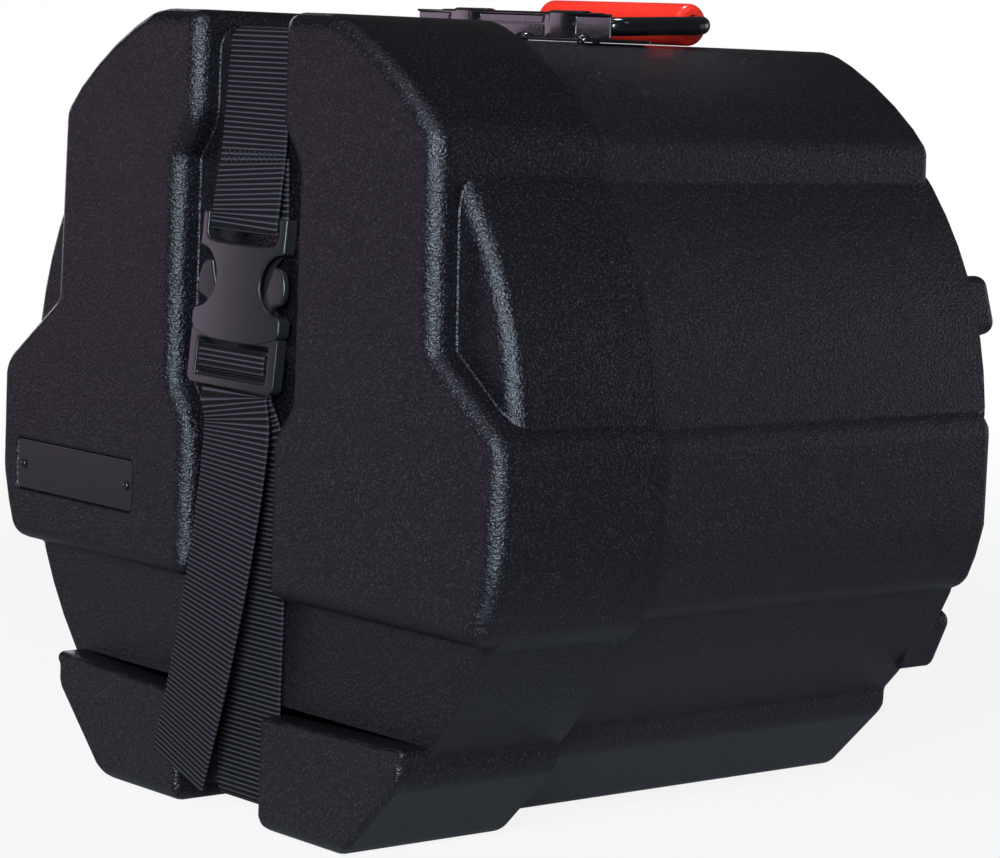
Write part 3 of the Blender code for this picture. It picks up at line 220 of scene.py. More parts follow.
class TomCaseHandle(bpy.types.PropertyGroup):
    """Colours of the handle and of the label plate."""
    steel_colour: bpy.props.FloatVectorProperty(
        name="Enamel colour", description="Colour of the enamelled steel", default=(0.0045, 0.0045, 0.0052),
        subtype="COLOR", size=3)
    grip_colour: bpy.props.FloatVectorProperty(
        name="Grip colour", description="Colour of the grip", default=(0.95, 0.011, 0.003),
        subtype="COLOR", size=3)
    plate_colour: bpy.props.FloatVectorProperty(
        name="Plate colour", description="Colour of the bare label plate", default=(0.007, 0.007, 0.008),
        subtype="COLOR", size=3)


class TomCaseStage(bpy.types.PropertyGroup):
    """Floor, lights and camera."""
    floor_colour: bpy.props.FloatVectorProperty(
        name="Floor colour", description="Colour of the floor", default=(0.80, 0.80, 0.80),
        subtype="COLOR", size=3)
    floor_glow: bpy.props.FloatProperty(
        name="Floor glow", description="Share of plain white in what the camera sees of the floor",
        default=0.88, min=0, max=1, subtype="FACTOR")
    room_light: bpy.props.FloatProperty(
        name="Room light", description="Strength of the light that comes from all round", default=0.022,
        min=0)
    key_power: bpy.props.FloatProperty(
        name="Key power", description="Power of the main softbox", default=11.5, unit="POWER")
    lens: bpy.props.FloatProperty(
        name="Lens", description="Focal length of the camera", default=123.13, unit="CAMERA")


# Meshes

SAME_PLACE = 1e-5
SAME_POINT = 1e-7
MERGE_DISTANCE = 1e-6
FLAT_ANGLE = math.radians(0.5)
OVERLAP = 0.001
QUARTER_TURN = math.pi / 2
ROUND_STEP = math.pi / 12


def new_object(name, bm):
    """Turns a bmesh into an object whose place is in its mesh."""
    mesh = bpy.data.meshes.new(name)
    bm.to_mesh(mesh)
    bm.free()
    made = bpy.data.objects.new(name, mesh)
    bpy.context.scene.collection.objects.link(made)
    return made


def evaluated(piece):
    """A bmesh of an object with its modifiers applied; the object is removed."""
    graph = bpy.context.evaluated_depsgraph_get()
    mesh = bpy.data.meshes.new_from_object(piece.evaluated_get(graph))
    bm = bmesh.new()
    bm.from_mesh(mesh)
    bpy.data.meshes.remove(mesh)
    discard(piece)
    return bm


def discard(piece):
    mesh = piece.data
    bpy.data.objects.remove(piece)
    bpy.data.meshes.remove(mesh)


def combine(bm, others, operation):
    """Joins other solids to a solid or cuts them from it, exactly."""
    for other in others:
        base = new_object("work", bm)
        helper = new_object("work_other", other)
        step = base.modifiers.new("step", "BOOLEAN")
        step.operation = operation
        step.solver = "EXACT"
        step.object = helper
        bpy.context.view_layer.update()
        bm = evaluated(base)
        discard(helper)
        if not bm.faces:
            raise RuntimeError("a solid was lost in a Boolean step")
    return bm


def prism(points, push):
    """A flat outline, pushed out to a solid."""
    bm = bmesh.new()
    face = bm.faces.new([bm.verts.new(point) for point in points])
    made = bmesh.ops.extrude_face_region(bm, geom=[face])["geom"]
    moved = [item for item in made if isinstance(item, bmesh.types.BMVert)]
    bmesh.ops.translate(bm, verts=moved, vec=push)
    bmesh.ops.recalc_face_normals(bm, faces=bm.faces)
    return bm


def slab(outline, front, back):
    """A solid whose outline is seen from the front, between two depths."""
    return prism([(x, depth(front), z) for x, z in outline], (0, back - front, 0))


def block(low, high, place=None):
    """A box between two corners, in its own axes when a place is given; otherwise Y is a depth."""
    bm = bmesh.new()
    bmesh.ops.create_cube(bm, size=1)
    centre = Vector([(a + b) / 2 for a, b in zip(low, high)])
    bmesh.ops.scale(bm, verts=bm.verts, vec=[b - a for a, b in zip(low, high)])
    bmesh.ops.translate(bm, verts=bm.verts, vec=centre)
    bmesh.ops.transform(bm, verts=bm.verts, matrix=place or Matrix.Translation((0, FRONT_Y, 0)))
    return bm


def tidy(bm):
    """Merges doubles and the flat faces that a Boolean leaves split."""
    bmesh.ops.remove_doubles(bm, verts=bm.verts, dist=MERGE_DISTANCE)
    bmesh.ops.dissolve_limit(bm, angle_limit=FLAT_ANGLE, verts=bm.verts, edges=bm.edges)
    bmesh.ops.recalc_face_normals(bm, faces=bm.faces)


def close_slits(bm):
    """Joins open edges where one long edge lies along several shorter ones."""
    loose = [edge for edge in bm.edges if edge.is_boundary]
    corners = {vert for edge in loose for vert in edge.verts}
    for edge in loose:
        start, end = edge.verts
        along = end.co - start.co
        shares = []
        for vert in corners - {start, end}:
            share = (vert.co - start.co).dot(along) / along.length_squared
            if 0 < share < 1 and (start.co + along * share - vert.co).length < SAME_PLACE:
                shares.append(share)
        reach = 1.0
        for share in sorted(shares, reverse=True):
            piece = next(e for e in start.link_edges if e.other_vert(start) is end)
            made, end = bmesh.utils.edge_split(piece, start, share / reach)
            reach = share
    bmesh.ops.remove_doubles(bm, verts=[v for v in bm.verts if v.is_boundary], dist=2 * SAME_PLACE)
    return bm


STRAIGHT_ON = math.radians(28)
ROOM_SHARE = 0.46
ROOM_PROBES = (0.3, 0.5, 0.7)
LENGTH_SHARE = 0.95
WIDTH_STEPS = 16


def room_along(loop, limits):
    """The widest rounding of an edge whose two ends' corners stay apart on one face."""
    length = LENGTH_SHARE * loop.edge.calc_length()
    corners = []
    for neighbour, corner in ((loop.link_loop_prev, loop), (loop.link_loop_next, loop.link_loop_next)):
        if neighbour.edge in limits and corner.is_convex:
            corners.append((limits[neighbour.edge], corner.calc_angle()))
    widest = limits[loop.edge]
    for k in range(WIDTH_STEPS, 0, -1):
        width = widest * k / WIDTH_STEPS
        used = [(min(width, other) + width * math.cos(angle)) / math.sin(angle) for other, angle in corners]
        if sum(max(0.0, use) for use in used) <= length:
            break
    return width


def room_across(loop, limits):
    """How far an edge can be rounded before it meets a rounded edge on the far side of a face."""
    start, end = loop.vert.co, loop.link_loop_next.vert.co
    along = (end - start).normalized()
    inward = loop.face.normal.cross(along)
    room = math.inf
    for share in ROOM_PROBES:
        origin = start.lerp(end, share)
        for other in loop.face.edges:
            if set(other.verts) & set(loop.edge.verts):
                continue
            near, far = [(along.dot(v.co - origin), inward.dot(v.co - origin)) for v in other.verts]
            if near[0] * far[0] >= 0:
                continue
            reach = near[1] + near[0] / (near[0] - far[0]) * (far[1] - near[1])
            if reach > SAME_PLACE:
                room = min(room, max(ROOM_SHARE * reach, 2 * ROOM_SHARE * reach - limits.get(other, 0.0)))
    return room


def even_widths(limits):
    """A width for each rounded edge, the same along edges that run on almost straight."""
    leader = {edge: edge for edge in limits}

    def lead(edge):
        while leader[edge] is not edge:
            edge = leader[edge]
        return edge

    for edge in limits:
        for vert in edge.verts:
            for other in vert.link_edges:
                if other in leader and other is not edge:
                    turn = (edge.other_vert(vert).co - vert.co).angle(vert.co - other.other_vert(vert).co)
                    if turn < STRAIGHT_ON:
                        leader[lead(edge)] = lead(other)
    width = {}
    for edge, limit in limits.items():
        room = min(min(room_along(loop, limits), room_across(loop, limits)) for loop in edge.link_loops)
        width[lead(edge)] = min(limit, room, width.get(lead(edge), limit))
    return {edge: width[lead(edge)] for edge in limits}


def round_edges(bm, radius, hollow=None, steps=4, sharp=math.radians(13), keep=None, most=None):
    """Rounds every edge sharper than an angle; hollow is the radius of inner corners, most(edge) a limit."""
    bm.normal_update()
    weights = bm.edges.layers.float.new("bevel_weight_edge")
    limits = {}
    for edge in bm.edges:
        if len(edge.link_faces) == 2 and edge.calc_face_angle(0) > sharp and not (keep and keep(edge)):
            limits[edge] = radius if edge.is_convex else hollow or radius
            if most:
                limits[edge] = min(limits[edge], most(edge))
    for edge, width in even_widths(limits).items():
        edge[weights] = width / radius
    piece = new_object("work", bm)
    bevel = piece.modifiers.new("round", "BEVEL")
    bevel.limit_method = "WEIGHT"
    bevel.width = radius
    bevel.segments = steps
    bevel.use_clamp_overlap = False
    bevel.miter_outer = "MITER_ARC"
    bpy.context.view_layer.update()
    return evaluated(piece)


def finish_piece(name, bm, body, finish, nodes, smooth=40):
    """Makes a piece of a bmesh, with its finish, its body and the CAD nodes that it stands for."""
    piece = new_object(name, bm)
    piece.data.materials.append(finish)
    piece.data.shade_smooth()
    piece.data.set_sharp_from_angle(angle=math.radians(smooth))
    even = piece.modifiers.new("even_normals", "WEIGHTED_NORMAL")
    even.keep_sharp = True
    if body:
        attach(piece, body)
    if nodes:
        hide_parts(*nodes)
    return piece


def arc(centre, radius, start, end, step=ARC_STEP):
    """Points from one angle to another, both ends included."""
    steps = max(1, round(abs(end - start) / step))
    angles = [start + (end - start) * k / steps for k in range(steps + 1)]
    return [(centre[0] + radius * math.cos(a), centre[1] + radius * math.sin(a)) for a in angles]


def inset(outline, amount):
    """Draws a closed outline in by an amount, corner by corner, along its mitres."""
    area = sum(a[0] * b[1] - b[0] * a[1] for a, b in zip(outline, outline[1:] + outline[:1]))
    side = 1 if area > 0 else -1
    drawn = []
    for i, point in enumerate(outline):
        before = (Vector(point) - Vector(outline[i - 1])).normalized()
        after = (Vector(outline[(i + 1) % len(outline)]) - Vector(point)).normalized()
        n1 = Vector((-before.y, before.x)) * side
        n2 = Vector((-after.y, after.x)) * side
        mitre = (n1 + n2) / (1 + n1.dot(n2))
        drawn.append((point[0] + mitre.x * amount, point[1] + mitre.y * amount))
    return drawn


def mirrored(half):
    return half + [(-x, z) for x, z in reversed(half)]


def flipped(outline):
    return [(-x, z) for x, z in reversed(outline)]


# Outlines of the case

def shoulder_arc():
    flat = math.asin(CENTRE_Z / SHOULDER_RADIUS)
    step = math.acos(SHOULDER_STEP_X / SHOULDER_RADIUS)
    return arc((0, CENTRE_Z), SHOULDER_RADIUS, flat, step)


def hip_side():
    lowest = -math.asin(HIP_BOTTOM_DROP / SHOULDER_RADIUS)
    side = -math.acos(HIP_HALF_WIDTH / SHOULDER_RADIUS)
    return [(HIP_HALF_WIDTH, CENTRE_Z + HIP_TOP_RISE)] + arc((0, CENTRE_Z), SHOULDER_RADIUS, side, lowest)


def side_circle():
    start = math.acos(SHOULDER_STEP_X / ROUND_RADIUS)
    ledge = math.acos((HIP_HALF_WIDTH + HIP_TOP_RISE) / (ROUND_RADIUS * math.sqrt(2)))
    return arc((0, CENTRE_Z), ROUND_RADIUS, start, math.pi / 4 - ledge)


def lower_circle():
    centre_z = CENTRE_Z - LOWER_CENTRE_DROP
    start = math.asin((CENTRE_Z - HIP_BOTTOM_DROP - HIP_LEDGE_DROP - centre_z) / ROUND_RADIUS)
    foot = math.asin((FOOT_PAD_TOP_Z - centre_z) / ROUND_RADIUS)
    end = -math.acos(FOOT_HALF_WIDTH / ROUND_RADIUS)
    return arc((0, centre_z), ROUND_RADIUS, start, foot) + arc((0, centre_z), ROUND_RADIUS, foot, end)[1:]


def foot_corner():
    return [(FOOT_HALF_WIDTH, FOOT_CORNER_Z), (FOOT_HALF_WIDTH - FOOT_CORNER_Z, 0.0)]


def case_outline(channels=True):
    half = []
    if channels:
        half += [(CHANNEL_HALF_WIDTH, CASE_HEIGHT - TOP_CHANNEL_DEPTH), (CHANNEL_HALF_WIDTH, CASE_HEIGHT)]
    half += shoulder_arc() + side_circle() + hip_side() + lower_circle() + foot_corner()
    if channels:
        half += [(CHANNEL_HALF_WIDTH, 0.0), (CHANNEL_HALF_WIDTH, BOTTOM_CHANNEL_DEPTH)]
    return mirrored(half)


def pad_outline():
    step = CHANNEL_HALF_WIDTH
    bay = BUCKLE_BAY_HALF_WIDTH
    rise = BAY_STEP_RISE / 2
    inner = [(step, CENTRE_Z - HIP_BOTTOM_DROP), (step, BAY_BOTTOM_Z - rise), (bay, BAY_BOTTOM_Z + rise),
             (bay, BAY_TOP_Z - rise), (step, BAY_TOP_Z + rise), (step, CASE_HEIGHT)]
    circle = side_circle()
    return inner + shoulder_arc() + [circle[0], PAD_KINK, circle[-1]] + hip_side()


TIP_PLAN_RADIUS = 0.0036
TIP_PLAN_STEP = math.radians(11.25)


def rounded_tip(before, tip, after):
    """Points of an arc that takes the place of a sharp corner between two straight edges."""
    radius = TIP_PLAN_RADIUS
    tip = Vector(tip)
    back, ahead = (Vector(before) - tip).normalized(), (Vector(after) - tip).normalized()
    half = back.angle(ahead) / 2
    centre = tip + (back + ahead).normalized() * radius / math.sin(half)
    start, end = [tip + way * radius / math.tan(half) - centre for way in (back, ahead)]
    first = math.atan2(start.y, start.x)
    turn = (math.atan2(end.y, end.x) - first + math.pi) % (2 * math.pi) - math.pi
    return arc(centre, radius, first, first + turn, TIP_PLAN_STEP)


def foot_outline():
    step = CHANNEL_HALF_WIDTH
    circle = lower_circle()
    inner_top = (step, FOOT_PAD_TOP_Z - FOOT_PAD_INNER_DROP)
    return [(step, 0.0), inner_top] + rounded_tip(inner_top, *circle[-2:]) + circle[-1:] + foot_corner()


def front_outlines():
    pad = pad_outline()
    foot = foot_outline()
    return pad, flipped(pad), foot, flipped(foot)


# Shader maths

def socket_name(label):
    """The shader's socket for a Python name, such as Base Color for base_color."""
    return label.replace("_", " ").title().replace("Ior", "IOR")


class Signal:
    """A shader socket that Python's operators combine through Math nodes."""

    def __init__(self, finish, socket):
        self.finish = finish
        self.socket = socket

    def math(self, operation, *values):
        made = self.finish.node("ShaderNodeMath", {"operation": operation}, dict(enumerate(values)))
        return Signal(self.finish, made.outputs[0])

    def wave(self, power=1.0):
        """A wave from 0 to 1 that repeats with every whole number; a power narrows its crests."""
        turned = self * (2 * math.pi)
        return (turned.math("COSINE", turned) * 0.5 + 0.5) ** power

    def __add__(self, other):
        return self.math("ADD", self, other)

    __radd__ = __add__

    def __sub__(self, other):
        return self.math("SUBTRACT", self, other)

    def __rsub__(self, other):
        return self.math("SUBTRACT", other, self)

    def __mul__(self, other):
        return self.math("MULTIPLY", self, other)

    __rmul__ = __mul__

    def __pow__(self, other):
        return self.math("POWER", self, other)

    def between(self, low, high):
        """0 below low, 1 above high, and smooth in between."""
        values = {"Value": self, "From Min": low, "From Max": high}
        made = self.finish.node("ShaderNodeMapRange", {"interpolation_type": "SMOOTHSTEP"}, values)
        return Signal(self.finish, made.outputs[0])


class Nodes:
    """The nodes of a material or of the world."""

    def __init__(self, tree):
        self.tree = tree

    def node(self, kind, settings, values):
        """Adds a node, makes its settings, then fills or links its sockets."""
        made = self.tree.nodes.new(kind)
        for name, value in settings.items():
            setattr(made, name, value)
        for name, value in values.items():
            self.give(made.inputs[name], value)
        return made

    def give(self, socket, value):
        if isinstance(value, Signal):
            self.tree.links.new(value.socket, socket)
        else:
            socket.default_value = value


class Finish(Nodes):
    """One procedural material and the few kinds of node that it is made of."""

    def __init__(self, name, roughness, **fixed):
        self.material = bpy.data.materials.new(name)
        self.material.use_nodes = True
        super().__init__(self.material.node_tree)
        self.shader = self.tree.nodes["Principled BSDF"]
        self.feed(roughness=roughness, **fixed)
        self.coords = self.node("ShaderNodeTexCoord", {}, {})

    def place(self, stretch=(1, 1, 1), source="Object"):
        """Object or UV coordinates, stretched."""
        spot = Signal(self, self.coords.outputs[source])
        made = self.node("ShaderNodeMapping", {}, {"Vector": spot, "Scale": stretch})
        return Signal(self, made.outputs[0])

    def noise(self, place, size, detail=2.0, roughness=0.5):
        """Soft noise whose blotches are about a size across."""
        values = {"Vector": place, "Scale": 1 / size, "Detail": detail, "Roughness": roughness}
        return Signal(self, self.node("ShaderNodeTexNoise", {}, values).outputs[0])

    def cells(self, place, size, feature="SMOOTH_F1", softness=0.6):
        """Distance from the middles of cells of about a size."""
        values = {"Vector": place, "Scale": 1 / size}
        if feature == "SMOOTH_F1":
            values["Smoothness"] = softness
        made = self.node("ShaderNodeTexVoronoi", {"feature": feature}, values)
        return Signal(self, made.outputs["Distance"])

    def mix(self, factor, first, second):
        """A colour between two colours."""
        made = self.node("ShaderNodeMix", {"data_type": "RGBA"}, {"Factor": factor})
        for name, value in (("A", first), ("B", second)):
            socket = [item for item in made.inputs if item.name == name and item.type == "RGBA"][0]
            self.give(socket, value if isinstance(value, Signal) else (*value, 1))
        out = [item for item in made.outputs if item.type == "RGBA"][0]
        return Signal(self, out)

    def bump(self, height, distance, strength=1.0, after=None):
        values = {"Height": height, "Distance": distance, "Strength": strength}
        if after:
            values["Normal"] = after
        return Signal(self, self.node("ShaderNodeBump", {}, values).outputs[0])

    def feed(self, **inputs):
        for label, value in inputs.items():
            self.give(self.shader.inputs[socket_name(label)], value)
        return self.material


def shade(colour, factor):
    return tuple(min(1.0, channel * factor) for channel in colour)


# Colour of the painted glints: pale dots in the plastic's colour, painted highlights on the grain's pebbles.
PAINTED_GLINT_COLOUR = (0.056, 0.050, 0.062)


def moulded_plastic(name, settings, painted_light):
    """Black polyethylene with a pebbled leather grain, a slight sheen, faint scuffs and painted glints; its
    colour is scaled by a factor of painted light.
    """
    finish = Finish(name, 0.42, ior=1.5)
    place = finish.place()
    size = settings.grain_size
    pebbles = finish.cells(place, size)
    fine = finish.noise(place, size * 0.6, 2.0, 0.6)
    grain = pebbles * 0.5 + fine * 0.9
    # Pale dots painted into the colour: painted highlights on the grain.
    painted_glints = finish.noise(place, size * 0.6, 1.0).between(0.60, 0.68)
    waves = finish.noise(place, 0.055, 1.0)
    dents = finish.bump(waves, 0.0012, 0.5)
    normal = finish.bump(grain, 0.00060, 1.0, dents)
    scuffs = finish.noise(finish.place((1, 1, 0.35)), 0.02, 5.0, 0.65).between(0.60, 0.78)
    blotch = finish.noise(place, 0.08, 3.0)
    # The base colour takes the factor of painted light, so the body's copy is painted paler.
    base = shade(settings.colour, painted_light)
    colour = finish.mix(blotch, shade(base, 0.85), shade(base, 1.2))
    colour = finish.mix(scuffs * 0.35, colour, shade(base, 2.4))
    colour = finish.mix(painted_glints * 0.5, colour, PAINTED_GLINT_COLOUR)
    rough = 0.17 + blotch * 0.08 + scuffs * 0.10 + fine * 0.05
    return finish.feed(base_color=colour, roughness=rough, normal=normal)


def open_foam(settings):
    finish = Finish("open_foam", 0.95)
    place = finish.place()
    cells = finish.cells(place, 0.0014, "F1")
    soft = finish.noise(place, 0.004, 4.0, 0.7)
    base = tuple(settings.foam_colour)
    # Darker in the pores, as painted shade: the colour follows the same cells as the bump's hollows.
    colour = finish.mix(cells, shade(base, 0.6), shade(base, 1.25))
    colour = finish.mix(soft * 0.5, colour, shade(base, 1.5))
    normal = finish.bump(cells + soft * 0.7, 0.0009, 0.9)
    return finish.feed(base_color=colour, roughness=0.9 + soft * 0.08, normal=normal)


def webbing_weave(settings):
    """Nylon webbing: fine warp threads along the strap, over the ribs that the mesh has, with painted
    highlight on the rib tops and painted shade in the grooves.
    """
    finish = Finish("webbing_weave", 0.6, specular_ior_level=0.25)
    threads = finish.place((1 / 0.0009, 1 / settings.rib_pitch, 1), "UV")
    split = finish.node("ShaderNodeSeparateXYZ", {}, {0: threads})
    across = Signal(finish, split.outputs[0])
    along = Signal(finish, split.outputs[1])
    strands = across.wave()
    ribs = along.wave(5.0)
    fuzz = finish.noise(finish.place((1500, 400, 1), "UV"), 1.0, 3.0, 0.7)
    base = tuple(settings.colour)
    # Rib tops and threads are painted pale, as painted highlight, and the grooves near black, as painted
    # shade.
    colour = finish.mix(ribs * (0.55 + strands * 0.45), shade(base, 0.008), base)
    colour = finish.mix(fuzz * 0.12, colour, shade(base, 0.2))
    normal = finish.bump(strands * 0.5 + fuzz * 0.6, 0.00016, 0.9)
    return finish.feed(base_color=colour, roughness=0.58 + fuzz * 0.2, normal=normal)


def sewing_thread(settings):
    """Twisted nylon thread, a little paler than the grooves that it lies over."""
    finish = Finish("sewing_thread", 0.5)
    twist = finish.place((1 / 0.0006, 1 / 0.0006, 1), "UV")
    split = finish.node("ShaderNodeSeparateXYZ", {}, {0: twist})
    # The twist's grooves are painted darker, as painted shade, following the same wave as the bump.
    turns = (Signal(finish, split.outputs[0]) + Signal(finish, split.outputs[1])).wave()
    base = shade(settings.colour, 0.25)
    return finish.feed(base_color=finish.mix(turns, shade(base, 0.4), base), roughness=0.45 + turns * 0.1,
                       normal=finish.bump(turns, 0.0001, 0.8))


def buckle_plastic(settings):
    finish = Finish("buckle_plastic", 0.30, specular_ior_level=0.13)
    place = finish.place()
    fine = finish.noise(place, 0.0009, 3.0, 0.6)
    flow = finish.noise(place, 0.012, 2.0)
    rubbed = finish.noise(finish.place((1, 1, 0.2)), 0.004, 4.0, 0.7).between(0.58, 0.75)
    base = tuple(settings.buckle_colour)
    colour = finish.mix(flow, shade(base, 0.85), shade(base, 1.25))
    normal = finish.bump(fine, 0.00008, 0.6, finish.bump(flow, 0.0006, 0.4))
    return finish.feed(base_color=colour, roughness=0.34 + flow * 0.08 + rubbed * 0.1, normal=normal)


def black_enamel(settings):
    finish = Finish("black_enamel", 0.22, coat_weight=0.6, coat_roughness=0.08)
    place = finish.place()
    peel = finish.noise(place, 0.0022, 2.0)
    dust = finish.noise(place, 0.006, 5.0, 0.7).between(0.55, 0.8)
    base = tuple(settings.steel_colour)
    colour = finish.mix(dust * 0.4, base, shade(base, 2.2))
    normal = finish.bump(peel, 0.00012, 0.5)
    return finish.feed(base_color=colour, roughness=0.18 + dust * 0.14, normal=normal)


def plain_steel():
    finish = Finish("plated_steel", 0.4, metallic=1.0)
    place = finish.place((1, 12, 1))
    streaks = finish.noise(place, 0.004, 4.0, 0.6)
    colour = finish.mix(streaks, (0.42, 0.42, 0.43), (0.55, 0.55, 0.56))
    normal = finish.bump(streaks, 0.00008, 0.5)
    return finish.feed(base_color=colour, roughness=0.30 + streaks * 0.2, normal=normal)


def red_grip(settings):
    finish = Finish("red_grip", 0.45, specular_ior_level=0.12)
    place = finish.place()
    fine = finish.noise(place, 0.0008, 3.0, 0.6)
    worn = finish.noise(place, 0.014, 4.0, 0.6).between(0.50, 0.75)
    base = tuple(settings.grip_colour)
    colour = finish.mix(worn * 0.5, base, shade(base, 0.86))
    normal = finish.bump(fine, 0.00012, 0.6)
    return finish.feed(base_color=colour, roughness=0.36 + worn * 0.1, normal=normal)


def label_enamel(settings):
    finish = Finish("label_enamel", 0.35, coat_weight=0.2, coat_roughness=0.15)
    place = finish.place((0.15, 1, 1))
    brushed = finish.noise(place, 0.0006, 3.0, 0.6)
    marks = finish.noise(finish.place(), 0.005, 5.0, 0.7).between(0.6, 0.8)
    base = tuple(settings.plate_colour)
    colour = finish.mix(marks * 0.3, base, shade(base, 2.5))
    normal = finish.bump(brushed, 0.00006, 0.6)
    return finish.feed(base_color=colour, roughness=0.30 + brushed * 0.1 + marks * 0.1, normal=normal)


def finish_named(name, make, *arguments):
    """The material of that name: it is made unless the scene already has one."""
    return bpy.data.materials.get(name) or make(*arguments)


# Shells

LABEL_RIM_ROUND = 0.0021
LABEL_CORNER = 0.0022
RIM_STEPS = 6
RIM_OVERLAP = 4e-5


def rounded_box(box, bend, step=math.pi / 8):
    """The outline of a rectangle with rounded corners."""
    (left, low), (right, high) = box
    centres = ((right - bend, high - bend), (left + bend, high - bend),
               (left + bend, low + bend), (right - bend, low + bend))
    outline = []
    for turn, centre in enumerate(centres):
        outline += arc(centre, bend, turn * QUARTER_TURN, (turn + 1) * QUARTER_TURN, step)
    return outline


def label_recess():
    """A cutter for the label's recess, whose mouth widens along a quarter round."""
    outline = rounded_box(LABEL_BOX, LABEL_CORNER)
    radius = LABEL_RIM_ROUND
    levels = [(radius, -SHELL_WALL)]
    for k in range(RIM_STEPS + 1):
        angle = QUARTER_TURN * k / RIM_STEPS
        levels.append((radius * (1 - math.sin(angle)), radius * (1 - math.cos(angle)) - RIM_OVERLAP))
    levels.append((0.0, LABEL_POCKET_DEPTH))
    bm = bmesh.new()
    loops = []
    for growth, deep in levels:
        verts = [bm.verts.new((x, depth(deep), z)) for x, z in inset(outline, -growth)]
        loops.append([bm.edges.new(pair) for pair in zip(verts, verts[1:] + verts[:1])])
    for upper, lower in zip(loops, loops[1:]):
        bmesh.ops.bridge_loops(bm, edges=upper + lower)
    bmesh.ops.holes_fill(bm, edges=loops[0] + loops[-1], sides=0)
    bmesh.ops.recalc_face_normals(bm, faces=bm.faces)
    return bm


LID_ROUND_STEPS = 6
BODY_ROUND_STEPS = 5
FOOT_TIP_ROUND = 0.0033
FOOT_TIP_LOW_Z = 0.040
FOOT_TIP_HIGH_Z = 0.063
FOOT_TIP_BACK = PAD_HEIGHT + 0.0001


def foot_tip_limit(edge):
    """The short, acute edges at the tips of the foot pads take a small round, the others any."""
    raised = all(vert.co.y < depth(FOOT_TIP_BACK) for vert in edge.verts)
    heights = [vert.co.z for vert in edge.verts]
    at_tip = raised and FOOT_TIP_LOW_Z < max(heights) < FOOT_TIP_HIGH_Z
    return FOOT_TIP_ROUND if at_tip else math.inf


def lies_at(plane):
    """A test for the edges of a shell's open rim, which stay sharp."""
    return lambda edge: all(abs(vert.co.y - depth(plane)) < SAME_PLACE for vert in edge.verts)


def lid_solid(settings):
    """The lid's block with its raised pads, all edges rounded, then hollowed."""
    outline = case_outline()
    bm = slab(outline, PAD_HEIGHT, SEAM_DEPTH)
    raised = [slab(shape, 0.0, PAD_HEIGHT + SHELL_WALL) for shape in front_outlines()]
    bm = combine(bm, raised, "UNION")
    tidy(bm)
    bm = round_edges(bm, settings.edge_round, settings.hollow_round, LID_ROUND_STEPS,
                     keep=lies_at(SEAM_DEPTH), most=foot_tip_limit)
    hollow = slab(inset(outline, SHELL_WALL), LID_FLOOR, SEAM_DEPTH + SHELL_WALL)
    return close_slits(combine(bm, [hollow, label_recess()], "DIFFERENCE"))


def rear_foot(side, x, z, angle):
    length = REAR_FOOT_LENGTH + 2 * SHELL_WALL
    centre = CASE_DEPTH + REAR_FOOT_LENGTH - length / 2
    place = (Matrix.Translation((side * x, depth(centre), z)) @ Matrix.Rotation(-side * angle, 4, "Y")
             @ Matrix.Translation((-side * REAR_FOOT_RADIAL / 2, 0, 0)))
    half = Vector((REAR_FOOT_RADIAL, length, REAR_FOOT_TANGENTIAL)) / 2
    return block(-half, half, place)


def ground_foot(side):
    back = CASE_DEPTH - GROUND_FOOT_BACK_GAP
    low = (side * GROUND_FOOT_X - GROUND_FOOT_WIDTH / 2, back - GROUND_FOOT_LENGTH, 0.0)
    high = (side * GROUND_FOOT_X + GROUND_FOOT_WIDTH / 2, back, BODY_BOTTOM_Z + SHELL_WALL)
    return block(low, high)


def body_solid(settings):
    """The body's block with its collar, feet and strap pockets, edges rounded, then hollowed."""
    plain = case_outline(channels=False)
    collar = case_outline()
    bm = slab(inset(plain, BODY_INSET), RIM_DEPTH, CASE_DEPTH)
    added = []
    for side in (-1, 1):
        added += [rear_foot(side, *foot) for foot in REAR_FEET]
        added.append(ground_foot(side))
    bm = combine(bm, added, "UNION")
    half = HALF_STRAP + 2 * SEAT_GAP
    start = STRAP_POCKET_START - SHELL_WALL / 2
    channel = CHANNEL_HALF_WIDTH + BODY_INSET
    fore = RIM_DEPTH - SHELL_WALL
    high = (half, TOP_POCKET_END, BODY_TOP_Z + SHELL_WALL)
    cuts = [block((-channel, fore, BODY_TOP_Z - TOP_CHANNEL_DEPTH),
                  (channel, STRAP_POCKET_START, CASE_HEIGHT)),
            block((-channel, fore, 0), (channel, STRAP_POCKET_START, BODY_BOTTOM_Z + BOTTOM_CHANNEL_DEPTH)),
            block((-half, start, BODY_TOP_Z - STRAP_POCKET_DEPTH), high),
            block((-half, start, BODY_BOTTOM_Z - SHELL_WALL),
                  (half, ANCHOR_POCKET_END, BODY_BOTTOM_Z + STRAP_POCKET_DEPTH))]
    bm = combine(bm, cuts, "DIFFERENCE")
    tidy(bm)
    bm = round_edges(bm, settings.body_round, settings.hollow_round, BODY_ROUND_STEPS,
                     keep=lies_at(RIM_DEPTH))
    wall = BODY_INSET + SHELL_WALL
    hollows = [slab(inset(collar, wall), RIM_DEPTH - SHELL_WALL, COLLAR_BACK),
               slab(inset(plain, wall), COLLAR_BACK - OVERLAP, CASE_DEPTH - SHELL_WALL)]
    return combine(bm, hollows, "DIFFERENCE")


# Factors of painted light on the plastic's colour: the body is painted twice as pale as the lid, as painted
# light for the brighter light on its sides; the plastic is the same.
LID_PAINTED_LIGHT = 1.0
BODY_PAINTED_LIGHT = 2.0


